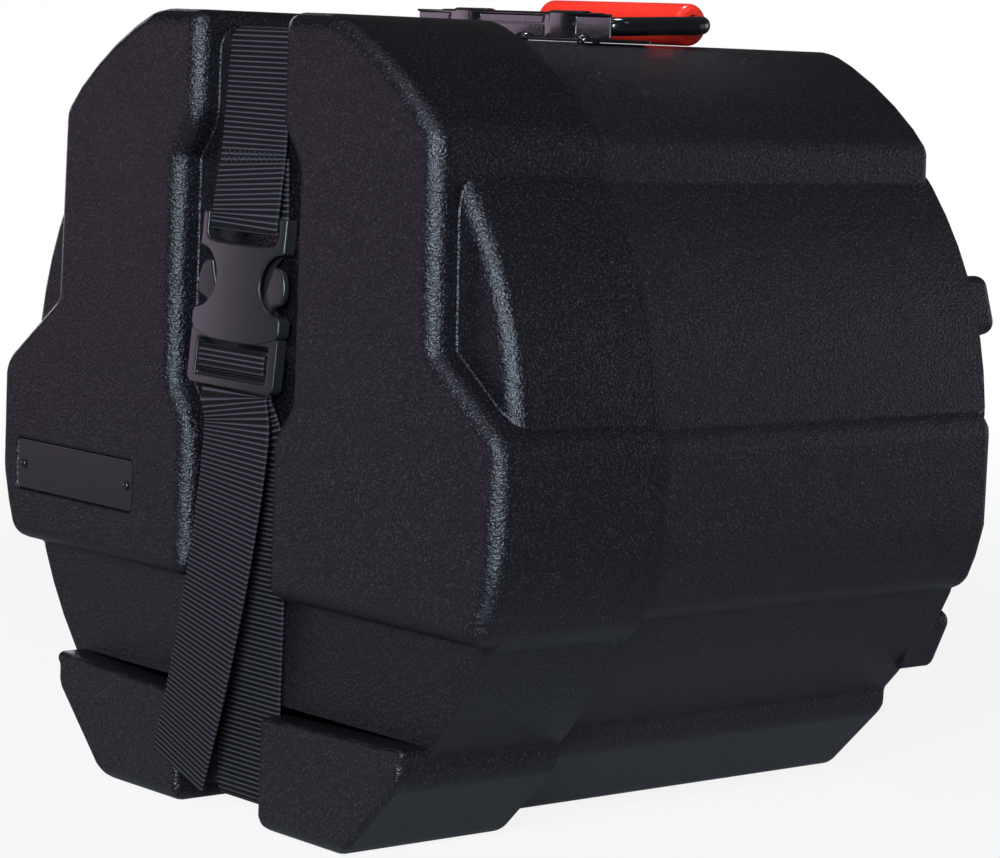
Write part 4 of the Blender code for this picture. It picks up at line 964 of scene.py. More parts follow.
class TOMCASE_OT_shells(bpy.types.Operator):
    """Build the lid's and the body's moulded shells"""
    bl_idname = "tomcase.shells"
    bl_label = "Moulded shells"

    def execute(self, context):
        settings = context.scene.tom_case_shell
        finish_piece("lid_moulding", lid_solid(settings), "lid",
                     moulded_plastic("lid_plastic", settings, LID_PAINTED_LIGHT), ["lid_shell"])
        finish_piece("body_moulding", body_solid(settings), "case_body",
                     moulded_plastic("body_plastic", settings, BODY_PAINTED_LIGHT), ["body_shell"])
        return {"FINISHED"}


# Sweeps and turned pieces

def sweep(rows, ring, closed=False):
    """A tube whose section is carried along rows of (centre, side, outward); UV holds metres."""
    around, along = len(ring), len(rows) - (0 if closed else 1)
    bm = bmesh.new()
    bmesh.ops.create_grid(bm, x_segments=around, y_segments=along, size=0.5)
    uv = bm.loops.layers.uv.new("UVMap")
    lengths = [0.0]
    for before, after in zip(rows, rows[1:] + rows[:1]):
        lengths.append(lengths[-1] + (after[0] - before[0]).length)
    spot = {}
    for vert in bm.verts:
        i = round((vert.co.x + 0.5) * around)
        j = round((vert.co.y + 0.5) * along)
        centre, side, outward = rows[j % len(rows)]
        u, v = ring[i % around](lengths[j]) if callable(ring[i % around]) else ring[i % around]
        spot[vert.index] = (u, lengths[j])
        vert.co = centre + side * u + outward * v
    for face in bm.faces:
        for loop in face.loops:
            loop[uv].uv = spot[loop.vert.index]
    bmesh.ops.remove_doubles(bm, verts=bm.verts, dist=SAME_POINT)
    ends = [edge for edge in bm.edges if edge.is_boundary]
    if ends:
        bmesh.ops.holes_fill(bm, edges=ends, sides=0)
    bmesh.ops.recalc_face_normals(bm, faces=bm.faces)
    return bm


def round_section(radius, sides):
    """The corners of a round section for a sweep."""
    turns = [2 * math.pi * k / sides for k in range(sides)]
    return [(radius * math.cos(turn), radius * math.sin(turn)) for turn in turns]


def smooth_path(points, step):
    """A centripetal spline through points, read at even steps; each point is (place, width direction)."""
    places = [point for point, wide in points]
    places = [2 * places[0] - places[1]] + places + [2 * places[-1] - places[-2]]
    dense = []
    for k in range(1, len(places) - 2):
        p = places[k - 1:k + 3]
        t = [0.0]
        for a, b in zip(p, p[1:]):
            t.append(t[-1] + max(1e-6, math.sqrt((b - a).length)))
        parts = max(2, math.ceil((p[2] - p[1]).length / (step / 2)))
        for n in range(parts):
            share = n / parts
            at_t = t[1] + (t[2] - t[1]) * share
            a1 = p[0].lerp(p[1], (at_t - t[0]) / (t[1] - t[0]))
            a2 = p[1].lerp(p[2], (at_t - t[1]) / (t[2] - t[1]))
            a3 = p[2].lerp(p[3], (at_t - t[2]) / (t[3] - t[2]))
            b1 = a1.lerp(a2, (at_t - t[0]) / (t[2] - t[0]))
            b2 = a2.lerp(a3, (at_t - t[1]) / (t[3] - t[1]))
            wide = points[k - 1][1].lerp(points[k][1], share)
            dense.append((b1.lerp(b2, (at_t - t[1]) / (t[2] - t[1])), wide))
    dense.append(points[-1])
    even = [dense[0]]
    ahead = 0.0
    for (a, wide_a), (b, wide_b) in zip(dense, dense[1:]):
        length = (b - a).length
        while ahead + length >= step:
            share = (step - ahead) / length
            a, wide_a = a.lerp(b, share), wide_a.lerp(wide_b, share)
            even.append((a, wide_a))
            length = (b - a).length
            ahead = 0.0
        ahead += length
    even[-1] = dense[-1]
    return even


def frames(path, closed=False):
    """Rows for a sweep: each place with its width direction and the direction across the width."""
    rows = []
    for i, (place, wide) in enumerate(path):
        ahead = path[(i + 1) % len(path)][0] if closed else path[min(i + 1, len(path) - 1)][0]
        behind = path[i - 1][0] if closed or i else place
        along = (ahead - behind).normalized()
        side = (wide - along * along.dot(wide)).normalized()
        rows.append((place, side, along.cross(side)))
    return rows


def turned(profile, centre, axis, sides=40):
    """A closed solid turned about an axis; the profile holds radius and height pairs, end to end."""
    bm = bmesh.new()
    verts = [bm.verts.new((radius, 0, height)) for radius, height in profile]
    edges = [bm.edges.new(pair) for pair in zip(verts, verts[1:])]
    bmesh.ops.spin(bm, geom=verts + edges, cent=(0, 0, 0), axis=(0, 0, 1), angle=2 * math.pi, steps=sides,
                   use_merge=True)
    bmesh.ops.remove_doubles(bm, verts=bm.verts, dist=SAME_POINT)
    bmesh.ops.recalc_face_normals(bm, faces=bm.faces)
    turn = Vector((0, 0, 1)).rotation_difference(Vector(axis)).to_matrix().to_4x4()
    bmesh.ops.transform(bm, verts=bm.verts, matrix=Matrix.Translation(centre) @ turn)
    return bm


# Webbing

WEB_STEP = 0.0004
WEB_FACE_POINTS = 9
WEB_EDGE_POINTS = 3
WEB_SHARP_ANGLE = 60


def web_section(settings):
    """The section of ribbed webbing; its thickness follows the ribs along the strap."""
    pitch, rise = settings.rib_pitch, settings.rib_height / 2
    core = HALF_WEB - rise / 2
    flat = HALF_STRAP - core

    def corner(u, v):
        def at_length(length):
            rib = abs(math.cos(math.pi * length / pitch)) * 2 - 1
            return u, v * (1 + rise * rib / core)
        return at_length

    ring = []
    for turn in (-1, 1):
        for k in range(WEB_FACE_POINTS):
            ring.append(corner(-turn * flat * (2 * k / (WEB_FACE_POINTS - 1) - 1), turn * core))
        for k in range(1, WEB_EDGE_POINTS + 1):
            angle = math.pi * (k / (WEB_EDGE_POINTS + 1) + turn / 2)
            ring.append(corner(core * math.cos(angle) - turn * flat, core * math.sin(angle)))
    return ring


def add_web(name, path, body, node, settings):
    rows = frames(smooth_path(path, WEB_STEP))
    finish = finish_named("webbing_weave", webbing_weave, settings)
    bm = sweep(rows, web_section(settings))
    return finish_piece(name, bm, body, finish, [node], WEB_SHARP_ANGLE), rows


def at(x, y, z, turn=0.0):
    """A point of a strap's path and its width there; Y is a depth and turn is about the vertical."""
    return Vector((x, depth(y), z)), Vector((math.cos(turn), math.sin(turn), 0))


def buckle_place():
    """The buckle's own axes in the world."""
    x, y, z = BUCKLE_CENTRE
    turn = Matrix.Rotation(BUCKLE_YAW, 4, "Z") @ Matrix.Rotation(-BUCKLE_PITCH, 4, "X")
    return Matrix.Translation((x, depth(y), z)) @ turn @ Matrix.Rotation(BUCKLE_ROLL, 4, "Y")


def in_buckle(inward, up):
    place = buckle_place()
    return place @ Vector((0, inward, up)), place.to_3x3() @ Vector((1, 0, 0))


CORNER_BEND_RADIUS = 0.006
BEND_STEPS = 6


def corner_bend(x, corner_y, corner_z, downward):
    """The bend over the lid's front edge, from the flat run to the upright run."""
    radius = CORNER_BEND_RADIUS
    points = []
    for k in range(BEND_STEPS + 1):
        angle = QUARTER_TURN * k / BEND_STEPS
        points.append(at(x, corner_y + radius * (1 - math.sin(angle)),
                         corner_z + downward * radius * (1 - math.cos(angle))))
    return points


def strap_front_depth():
    return PAD_HEIGHT - SEAT_GAP - HALF_WEB


def lid_top_strap_z():
    return CASE_HEIGHT - TOP_CHANNEL_DEPTH + SEAT_GAP + HALF_WEB


def lid_bottom_strap_z():
    return BOTTOM_CHANNEL_DEPTH - SEAT_GAP - HALF_WEB


def slot_edges():
    """Heights of the receiver's strap slot and of its top bar."""
    bar_top = RECEIVER_BOTTOM + RECEIVER_HEIGHT
    bar_low = bar_top - TOP_BAR_HEIGHT
    return bar_low - TOP_SLOT_HEIGHT, bar_low, bar_top


def insert_heights():
    """Heights on the insert from the rail down: rail, slot, lock bar, slot and end bar edges."""
    rail_top = RECEIVER_BOTTOM - SEAT_GAP
    rail_low = rail_top - INSERT_RAIL_HEIGHT
    bar_top = rail_low - LOCK_SLOT_HEIGHT
    bar_low = bar_top - LOCK_BAR_HEIGHT
    end_top = bar_low - LOCK_SLOT_HEIGHT
    return rail_top, rail_low, bar_top, bar_low, end_top, end_top - END_BAR_HEIGHT


def round_corner(inward, up, start, end):
    """Points round one corner of a buckle bar; angles in degrees, from the inward side upwards."""
    radius = SEAT_GAP + HALF_WEB
    points = []
    for k in range(BEND_STEPS):
        angle = math.radians(start + (end - start) * k / (BEND_STEPS - 1))
        points.append(in_buckle(inward + radius * math.cos(angle), up + radius * math.sin(angle)))
    return points


def between(first, last, part):
    return first[0].lerp(last[0], part), first[1].lerp(last[1], part).normalized()


SEWN_LOOP_LENGTH = 0.0285
SEAM_TURN_SHARE = 0.6


def upper_path():
    """Over the lid's top edge, down to the receiver, round its bar and back up behind itself."""
    front = strap_front_depth()
    slot_low, bar_low, bar_top = slot_edges()
    radius = TOP_BAR_THICKNESS / 2 + SEAT_GAP + HALF_WEB
    layer = STRAP_THICKNESS + SEAT_GAP
    x = UPPER_STRAP_X
    bend = corner_bend(x, front, lid_top_strap_z(), -1)
    seam_z = BUCKLE_CENTRE[2] + bar_top + SEWN_LOOP_LENGTH
    turn = SEAM_TURN_SHARE * BUCKLE_YAW
    swing = HALF_STRAP * math.sin(turn) + SEAT_GAP
    seam = at(x, front - layer - swing, seam_z, turn)
    onto_bar = in_buckle(-radius, bar_top)
    off_bar = in_buckle(radius, bar_top)
    path = [at(x, STRAP_SPLIT_DEPTH, lid_top_strap_z())] + bend + [between(bend[-1], seam, 0.5), seam]
    path += [between(seam, onto_bar, 0.5), onto_bar]
    path += round_corner(-TOP_BAR_THICKNESS / 2, bar_low, 180, 270)
    path += round_corner(TOP_BAR_THICKNESS / 2, bar_low, 270, 360)
    end = at(x, front - swing, seam_z - layer, turn)
    return path + [off_bar, between(off_bar, end, 0.5), end]


def top_path():
    top = lid_top_strap_z()
    x = UPPER_STRAP_X
    pocket = BODY_TOP_Z - STRAP_POCKET_DEPTH + SEAT_GAP / 2 + HALF_WEB
    return [at(x, STRAP_SPLIT_DEPTH + SEAT_GAP, top), at(x, SEAM_DEPTH + STRAP_THICKNESS, top),
            at(0, STRAP_POCKET_START, pocket), at(0, TOP_POCKET_END - SEAT_GAP, pocket)]


def bottom_path():
    low = lid_bottom_strap_z()
    pocket = BODY_BOTTOM_Z + STRAP_POCKET_DEPTH - SEAT_GAP / 2 - HALF_WEB
    return [at(LOWER_STRAP_X, STRAP_SPLIT_DEPTH + SEAT_GAP, low),
            at(LOWER_STRAP_X / 2, SEAM_DEPTH + STRAP_THICKNESS, low),
            at(0, STRAP_POCKET_START, pocket), at(0, ANCHOR_POCKET_END - SEAT_GAP, pocket)]


LOCK_LEAD = 0.004
LOWER_STRAP_FLAT_DROP = 0.0882
LOWER_STRAP_FREE_DROP = 0.0682


def lock_layers():
    """How far behind the lock's bars the tail and then the loaded strap lie."""
    tail = LOCK_BAR_THICKNESS / 2 + SEAT_GAP + HALF_WEB
    return tail, tail + STRAP_THICKNESS + SEAT_GAP


def lower_path():
    """From under the lid up the channel's right side to the back of the ladder lock."""
    front = strap_front_depth()
    low = lid_bottom_strap_z()
    bar_low, end_low = insert_heights()[3], insert_heights()[5]
    loaded = lock_layers()[1]
    x = LOWER_STRAP_X
    lock = in_buckle(loaded, end_low - LOCK_LEAD)
    turn = BUCKLE_YAW / 2
    free_z = BUCKLE_CENTRE[2] - LOWER_STRAP_FREE_DROP
    free = at(x, front - HALF_STRAP * math.sin(turn) - SEAT_GAP, free_z, turn)
    path = [at(x, STRAP_SPLIT_DEPTH, low)] + corner_bend(x, front, low, 1)
    path += [at(x, front, BUCKLE_CENTRE[2] - LOWER_STRAP_FLAT_DROP), free, between(free, lock, 0.5), lock]
    return path + [in_buckle(loaded, bar_low)]


TAIL_START_SHARE = 0.85
TAIL_LEAD_SHARE = 0.6
TAIL_ONTO_LOCK = 40
TAIL_OFF_LOCK = 245
TAIL_ONTO_END_BAR = 65
TAIL_END = (-0.0275, 0.0195)
TAIL_END_TURN = math.radians(-4)
TAIL_PROUD = 0.0060
TAIL_HANG = ((0.09, -0.06, 0.10), (0.20, -0.04, 0.25), (0.33, 0.05, 0.40), (0.47, 0.19, 0.55),
             (0.61, 0.36, 0.70), (0.75, 0.56, 0.83), (0.88, 0.78, 0.93), (1.0, 1.0, 1.0))


THREAD_RADIUS = 0.00024
THREAD_SIDES = 6
THREAD_SEAT = THREAD_RADIUS / 3
SEAM_HALF_WIDTH = 0.0215
SEAM_POINTS = 23
SEAM_ROW_HEIGHTS = (0.0012, -0.0016)
SEAM_ZIGZAG = 0.0011


def zigzag_seam(rows, height):
    """Thread sewn in a zigzag across the front of a strap, at a height."""
    middle = next(i for i, row in enumerate(rows) if row[0].z <= height)
    path = []
    for k in range(SEAM_POINTS):
        away = SEAM_ZIGZAG if k % 2 else -SEAM_ZIGZAG
        centre, side, outward = rows[middle + round(away / WEB_STEP)]
        across = SEAM_HALF_WIDTH * (2 * k / (SEAM_POINTS - 1) - 1)
        path.append((centre + side * across + outward * (HALF_WEB + THREAD_SEAT), outward))
    return sweep(frames(path), round_section(THREAD_RADIUS, THREAD_SIDES))


def tail_path():
    """Over the lock bar, out below it, and down in front with a drift to the left."""
    bar_top, bar_low, end_top, end_low = insert_heights()[2:]
    tail, loaded = lock_layers()
    half = LOCK_BAR_THICKNESS / 2
    path = [in_buckle(loaded, bar_low + SEAT_GAP), in_buckle(TAIL_START_SHARE * loaded, bar_top)]
    path += round_corner(half, bar_top, TAIL_ONTO_LOCK, 90) + round_corner(-half, bar_top, 90, 180)
    path += round_corner(-half, bar_low, 180, TAIL_OFF_LOCK)
    path += round_corner(half, end_top, TAIL_ONTO_END_BAR, 0)
    start = in_buckle(tail, end_low)
    path += [start, in_buckle(TAIL_LEAD_SHARE * tail, end_low - LOCK_LEAD)]
    end_depth = HALF_STRAP * abs(math.sin(TAIL_END_TURN)) + HALF_WEB - TAIL_PROUD
    x, y, z = start[0].x, start[0].y - FRONT_Y, start[0].z
    for down, drift, out in TAIL_HANG:
        turn = BUCKLE_YAW + down * (TAIL_END_TURN - BUCKLE_YAW)
        path.append(at(x + drift * (TAIL_END[0] - x), y + out * (end_depth - y), z + down * (TAIL_END[1] - z),
                       turn))
    return path


class TOMCASE_OT_straps(bpy.types.Operator):
    """Build the webbing that closes the case"""
    bl_idname = "tomcase.straps"
    bl_label = "Webbing"

    def execute(self, context):
        settings = context.scene.tom_case_strap
        upper, upper_rows = add_web("upper_webbing", upper_path(), "lid", "strap_upper", settings)
        seam_z = BUCKLE_CENTRE[2] + slot_edges()[2] + SEWN_LOOP_LENGTH
        for k, rise in enumerate(SEAM_ROW_HEIGHTS, 1):
            finish_piece("seam_thread_%d" % k, zigzag_seam(upper_rows, seam_z + rise), "lid",
                         finish_named("sewing_thread", sewing_thread, settings), [])
        top, rows = add_web("top_webbing", top_path(), None, "strap_top", settings)
        bottom, rows = add_web("bottom_webbing", bottom_path(), None, "strap_bottom", settings)
        for piece in (top, bottom):
            depth(STRAP_POCKET_START)
            depth(SEAM_DEPTH)
            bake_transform(piece)
        lower, rows = add_web("lower_webbing", lower_path(), None, "strap_lower", settings)
        tail, rows = add_web("tail_webbing", tail_path(), None, "strap_tail", settings)
        for piece in (lower, tail):
            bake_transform(piece)
        return {"FINISHED"}


# Buckle

def upright(outline, front, back):
    """A solid in the buckle's own axes, from an outline across and up."""
    return prism([(x, front, z) for x, z in outline], (0, back - front, 0))


def local_block(low, high):
    return block(low, high, Matrix.Identity(4))


RECEIVER_CORNER = 0.002
WINDOW_SILL = 0.0025
WINDOW_STEPS = 14


def window_arc():
    """The side window's bow cut, from low to high."""
    reach = RECEIVER_WAIST - WINDOW_INNER
    points = []
    for k in range(WINDOW_STEPS + 1):
        angle = math.pi * (k / WINDOW_STEPS - 0.5)
        points.append((RECEIVER_WAIST - reach * math.cos(angle),
                       WINDOW_CENTRE + WINDOW_HALF_HEIGHT * math.sin(angle)))
    return points


def receiver_outline():
    top = RECEIVER_BOTTOM + RECEIVER_HEIGHT
    shoulder = WINDOW_CENTRE - WINDOW_HALF_HEIGHT - WINDOW_SILL
    half = [(RECEIVER_HALF_WIDTH - RECEIVER_CORNER, RECEIVER_BOTTOM),
            (RECEIVER_HALF_WIDTH, RECEIVER_BOTTOM + RECEIVER_CORNER),
            (RECEIVER_HALF_WIDTH, shoulder)] + window_arc() + [(RECEIVER_WAIST, top)]
    return [(-x, z) for x, z in half] + [(x, z) for x, z in reversed(half)]


LIP_ROOT = 0.004
LIP_START = 0.0002
LIP_DROP = 0.0048
LIP_FULLNESS = 1.25
LIP_STEPS = 12


def lip_outline():
    """The receiver's front lip: it bows down over the insert's rail."""
    half = RECEIVER_HALF_WIDTH - RECEIVER_CORNER
    root = RECEIVER_BOTTOM + LIP_ROOT
    points = [(half, root)]
    for k in range(LIP_STEPS + 1):
        x = half * (1 - 2 * k / LIP_STEPS)
        bow = 1 - (x / RECEIVER_HALF_WIDTH) ** 2
        points.append((x, RECEIVER_BOTTOM + LIP_START - LIP_DROP * min(1.0, LIP_FULLNESS * bow)))
    return points + [(-half, root)]


SLOT_CORNER_RISE = 0.0035
SLOT_CORNER_INSET = 0.0018
SLOT_SAG = 0.0006
SLOT_END_LIFT = 0.0012
SLOT_STEPS = 8


def slot_outline():
    """The receiver's strap slot, whose lower edge sags a little between rounded corners."""
    slot_low, bar_low, bar_top = slot_edges()
    half = BAR_SLOT_HALF_WIDTH
    points = [(half, bar_low), (-half, bar_low), (-half, slot_low + SLOT_CORNER_RISE)]
    for k in range(SLOT_STEPS + 1):
        x = (half - SLOT_CORNER_INSET) * (2 * k / SLOT_STEPS - 1)
        share = abs(x / half)
        points.append((x, slot_low - SLOT_SAG * (1 - share ** 2) + SLOT_END_LIFT * share ** 5))
    return points + [(half, slot_low + SLOT_CORNER_RISE)]


BUCKLE_CROWN = 0.0009
INSERT_CROWN_SHARE = 0.15
CROWN_STRIPS = 8
BUCKLE_ROUND = 0.0014
INSERT_ROUND = 0.0013
INSERT_CORNER = 0.0042


def crown(bm, half_width, amount):
    """Draws the front of a piece back towards its sides, so that its face is gently crowned."""
    for k in range(1 - CROWN_STRIPS, CROWN_STRIPS):
        bmesh.ops.bisect_plane(bm, geom=bm.verts[:] + bm.edges[:] + bm.faces[:], dist=SAME_POINT,
                               plane_co=(k * half_width / CROWN_STRIPS, 0, 0), plane_no=(1, 0, 0))
    for vert in bm.verts:
        if vert.co.y < 0:
            vert.co.y *= 1 - amount * (vert.co.x / half_width) ** 2


def receiver_solid():
    """Hollow, open below, with two side windows, a strap slot and a bowed front lip."""
    half = BUCKLE_THICKNESS / 2
    bm = upright(receiver_outline(), -half, half)
    bm = combine(bm, [upright(lip_outline(), -half, -INSERT_THICKNESS / 2 - SEAT_GAP / 2)], "UNION")
    inner = half - BUCKLE_WALL
    slot_low, bar_low, bar_top = slot_edges()
    cuts = [local_block((-CAVITY_HALF_WIDTH, -inner, RECEIVER_BOTTOM - BUCKLE_WALL),
                        (CAVITY_HALF_WIDTH, inner, CAVITY_TOP)),
            upright(slot_outline(), -BUCKLE_THICKNESS, BUCKLE_THICKNESS)]
    for side in (-1, 1):
        near, far = sorted((side * TOP_BAR_THICKNESS / 2, side * BUCKLE_THICKNESS))
        cuts.append(local_block((-BAR_SLOT_HALF_WIDTH, near, bar_low - OVERLAP),
                                (BAR_SLOT_HALF_WIDTH, far, bar_top + BUCKLE_WALL)))
    bm = combine(bm, cuts, "DIFFERENCE")
    tidy(bm)
    bm = round_edges(bm, BUCKLE_ROUND, steps=3)
    crown(bm, RECEIVER_HALF_WIDTH, BUCKLE_CROWN / half)
    bmesh.ops.transform(bm, verts=bm.verts, matrix=buckle_place())
    return bm


def insert_solid():
    """A ladder lock frame with rounded lower corners and a guide tongue."""
    rail_top, rail_low, bar_top, bar_low, end_top, end_low = insert_heights()
    half = INSERT_HALF_WIDTH
    bend = INSERT_CORNER
    outline = [(half, rail_top), (-half, rail_top)]
    outline += arc((bend - half, end_low + bend), bend, math.pi, 3 * QUARTER_TURN, ROUND_STEP)
    outline += arc((half - bend, end_low + bend), bend, -QUARTER_TURN, 0, ROUND_STEP)
    thick = INSERT_THICKNESS / 2
    bm = upright(outline, -thick, thick)
    tongue = BUCKLE_THICKNESS / 2 - BUCKLE_WALL - 2 * SEAT_GAP
    bm = combine(bm, [local_block((-TONGUE_HALF_WIDTH, -tongue, rail_low),
                                  (TONGUE_HALF_WIDTH, tongue, rail_top + TONGUE_LENGTH))], "UNION")
    wide = BAR_SLOT_HALF_WIDTH
    cuts = [local_block((-wide, -BUCKLE_THICKNESS, low), (wide, BUCKLE_THICKNESS, high))
            for low, high in ((bar_top, rail_low), (end_top, bar_low))]
    for side in (-1, 1):
        near, far = sorted((side * LOCK_BAR_THICKNESS / 2, side * BUCKLE_THICKNESS))
        low = end_top - OVERLAP if side < 0 else end_low - BUCKLE_WALL
        cuts.append(local_block((-wide, near, low), (wide, far, rail_low - OVERLAP)))
    bm = combine(bm, cuts, "DIFFERENCE")
    tidy(bm)
    bm = round_edges(bm, INSERT_ROUND, steps=3)
    crown(bm, INSERT_HALF_WIDTH, INSERT_CROWN_SHARE)
    bmesh.ops.transform(bm, verts=bm.verts, matrix=buckle_place())
    return bm


PRONG_NOSE = ((0.35, 1.0), (0.50, 1.0), (0.66, 0.985), (0.78, 0.945), (0.88, 0.87), (0.95, 0.79),
              (0.99, 0.70), (0.985, 0.61), (0.93, 0.54))
PRONG_STRAIGHT = 0.45
PRONG_SHOULDER = (0.35, 0.82)
PRONG_HEEL = 0.85
PRONG_SOLE = 0.6
PRONG_ANKLE = 0.6


def prong_solid(side):
    """A slim leg that bows out into the window and ends in a rounded nose."""
    half = PRONG_WIDTH / 2
    mouth = CAVITY_HALF_WIDTH - 2 * SEAT_GAP - PRONG_ROOT_X
    reach = PRONG_REACH - PRONG_ROOT_X
    window_low = WINDOW_CENTRE - WINDOW_HALF_HEIGHT - RECEIVER_BOTTOM
    leg = window_low + PRONG_WIDTH
    nose = [(x * reach, z * PRONG_LENGTH) for x, z in PRONG_NOSE]
    sole = min(mouth, PRONG_SOLE * reach)
    ankle = (min(mouth, half), PRONG_ANKLE * window_low)
    shoulder = (PRONG_SHOULDER[0] * reach - half, PRONG_SHOULDER[1] * PRONG_LENGTH)
    outline = [(-half, 0), (-half, PRONG_STRAIGHT * PRONG_LENGTH), shoulder, *nose,
               (PRONG_HEEL * reach, leg + half), (sole, leg), ankle, (half, 0)]
    thick = BUCKLE_THICKNESS / 2 - BUCKLE_WALL - 2 * SEAT_GAP
    bm = upright([(side * x, z) for x, z in outline], -thick, thick)
    bm = round_edges(bm, BUCKLE_ROUND, steps=3)
    root = Matrix.Translation((side * PRONG_ROOT_X, 0, RECEIVER_BOTTOM + SEAT_GAP))
    bmesh.ops.transform(bm, verts=bm.verts, matrix=buckle_place() @ root)
    return bm


class TOMCASE_OT_buckle(bpy.types.Operator):
    """Build the side-release buckle"""
    bl_idname = "tomcase.buckle"
    bl_label = "Buckle"

    def execute(self, context):
        finish = finish_named("buckle_plastic", buckle_plastic, context.scene.tom_case_strap)
        finish_piece("receiver_moulding", receiver_solid(), "lid", finish, ["buckle_receiver"])
        finish_piece("insert_moulding", insert_solid(), "insert", finish, ["buckle_insert"])
        for side, name in ((-1, "left"), (1, "right")):
            finish_piece("prong_moulding_" + name, prong_solid(side), "prong_" + name, finish,
                         ["prong_" + name])
        return {"FINISHED"}


# Handle

BAIL_HINGE_BEND = 0.009
BAIL_GRIP_BEND = 0.014
BAIL_STEP = math.pi / 24
BAIL_SIDES = 24


def bail_place():
    tilt = math.asin((GRIP_RADIUS + SEAT_GAP - HINGE_HEIGHT) / BAIL_LENGTH)
    hinge = Matrix.Translation((0, depth(HINGE_DEPTH), BODY_TOP_Z + HINGE_HEIGHT))
    return hinge @ Matrix.Rotation(tilt, 4, "X")


def bail_rows():
    """The closed centre line of the bail, with its hinge bar on the X axis."""
    half, quarter = BAIL_HALF_WIDTH, QUARTER_TURN
    corners = ((half, 0.0, BAIL_HINGE_BEND, -quarter), (half, BAIL_LENGTH, BAIL_GRIP_BEND, 0.0),
               (-half, BAIL_LENGTH, BAIL_GRIP_BEND, quarter), (-half, 0.0, BAIL_HINGE_BEND, 2 * quarter))
    points = []
    for x, y, bend, start in corners:
        cx = x - math.copysign(bend, x)
        cy = y + (bend if y == 0 else -bend)
        for px, py in arc((cx, cy), bend, start, start + quarter, BAIL_STEP):
            points.append((Vector((px, py, 0)), Vector((0, 0, 1))))
    return frames(points, closed=True)


def bail_solid():
    bm = sweep(bail_rows(), round_section(BAIL_ROD_RADIUS, BAIL_SIDES), closed=True)
    bmesh.ops.transform(bm, verts=bm.verts, matrix=bail_place())
    return bm


GRIP_ROUND = 0.0045
GRIP_MOUTH = 0.0004
GRIP_MOUTH_DEPTH = 0.0003
GRIP_RINGS = 12
GRIP_SIDES = 64


def grip_solid():
    """A moulded sleeve on the bail's far bar with well-rounded ends."""
    half = BAIL_HALF_WIDTH - BAIL_GRIP_BEND
    bore = BAIL_ROD_RADIUS + SEAT_GAP
    bend = GRIP_ROUND
    start = (bore, half - GRIP_MOUTH_DEPTH)
    profile = [start, (bore + GRIP_MOUTH, half)]
    near_end = arc((half - bend, GRIP_RADIUS - bend), bend, 0, QUARTER_TURN, ROUND_STEP)
    profile += [(r, x) for x, r in near_end]
    profile += [(GRIP_RADIUS, half * (1 - 2 * k / GRIP_RINGS)) for k in range(2, GRIP_RINGS - 1)]
    far_end = arc((bend - half, GRIP_RADIUS - bend), bend, QUARTER_TURN, math.pi, ROUND_STEP)
    profile += [(r, x) for x, r in far_end]
    profile += [(bore + GRIP_MOUTH, -half), (bore, GRIP_MOUTH_DEPTH - half), start]
    bm = turned(profile, (0, 0, 0), (1, 0, 0), GRIP_SIDES)
    bmesh.ops.translate(bm, verts=bm.verts, vec=(0, BAIL_LENGTH, 0))
    bmesh.ops.transform(bm, verts=bm.verts, matrix=bail_place())
    return bm


BRACKET_CORNER = 0.004
BRACKET_ROUND = 0.0006
FRONT_WALL = 0.0012
FRONT_WALL_HEIGHT = 0.0145
CURL_REACH = 0.0015
CURL_HEIGHT = 0.0012
CURL_BACK_GAP = 0.0009
HOOD_HALF_WIDTH = 0.0625
HOOD_RADII = (0.0054, 0.0068)
KNUCKLE_RADII = (0.0062, 0.0077)
KNUCKLE_X = 0.038
KNUCKLE_HALF_WIDTH = 0.013
RIDGE_RISE = 0.0017
RIDGE_SINK = 0.0003
RIDGE_TOP_GAP = 0.0001
RIDGE_STEPS = 14
ROLL_BACK_ANGLE = math.radians(15)
ROLL_STEP = math.radians(8)
BORE_SIDES = 36


def rolled_cover(middle, half_width, radii, axis_z):
    """A piece of sheet rolled over the bail's rod, from the front wall over the top to the back."""
    inner, outer = [arc((0, 0), radius, ROLL_BACK_ANGLE, math.pi, ROLL_STEP) for radius in radii]
    left = middle - half_width
    points = [(left, depth(HINGE_DEPTH + u), axis_z + v) for u, v in outer + inner[::-1]]
    return prism(points, (2 * half_width, 0, 0))


def knuckle_ridge(middle, wall_front, wall_back, low, high):
    """The bowed ridge that a knuckle makes down the bracket's front wall."""
    angles = [math.pi * k / RIDGE_STEPS for k in range(RIDGE_STEPS + 1)]
    plan = [(middle + KNUCKLE_HALF_WIDTH * math.cos(angle), wall_front - RIDGE_RISE * math.sin(angle))
            for angle in angles]
    plan += [(middle + side * KNUCKLE_HALF_WIDTH, wall_back - RIDGE_SINK) for side in (-1, 1)]
    return prism([(x, depth(y), low) for x, y in plan], (0, 0, high - low))


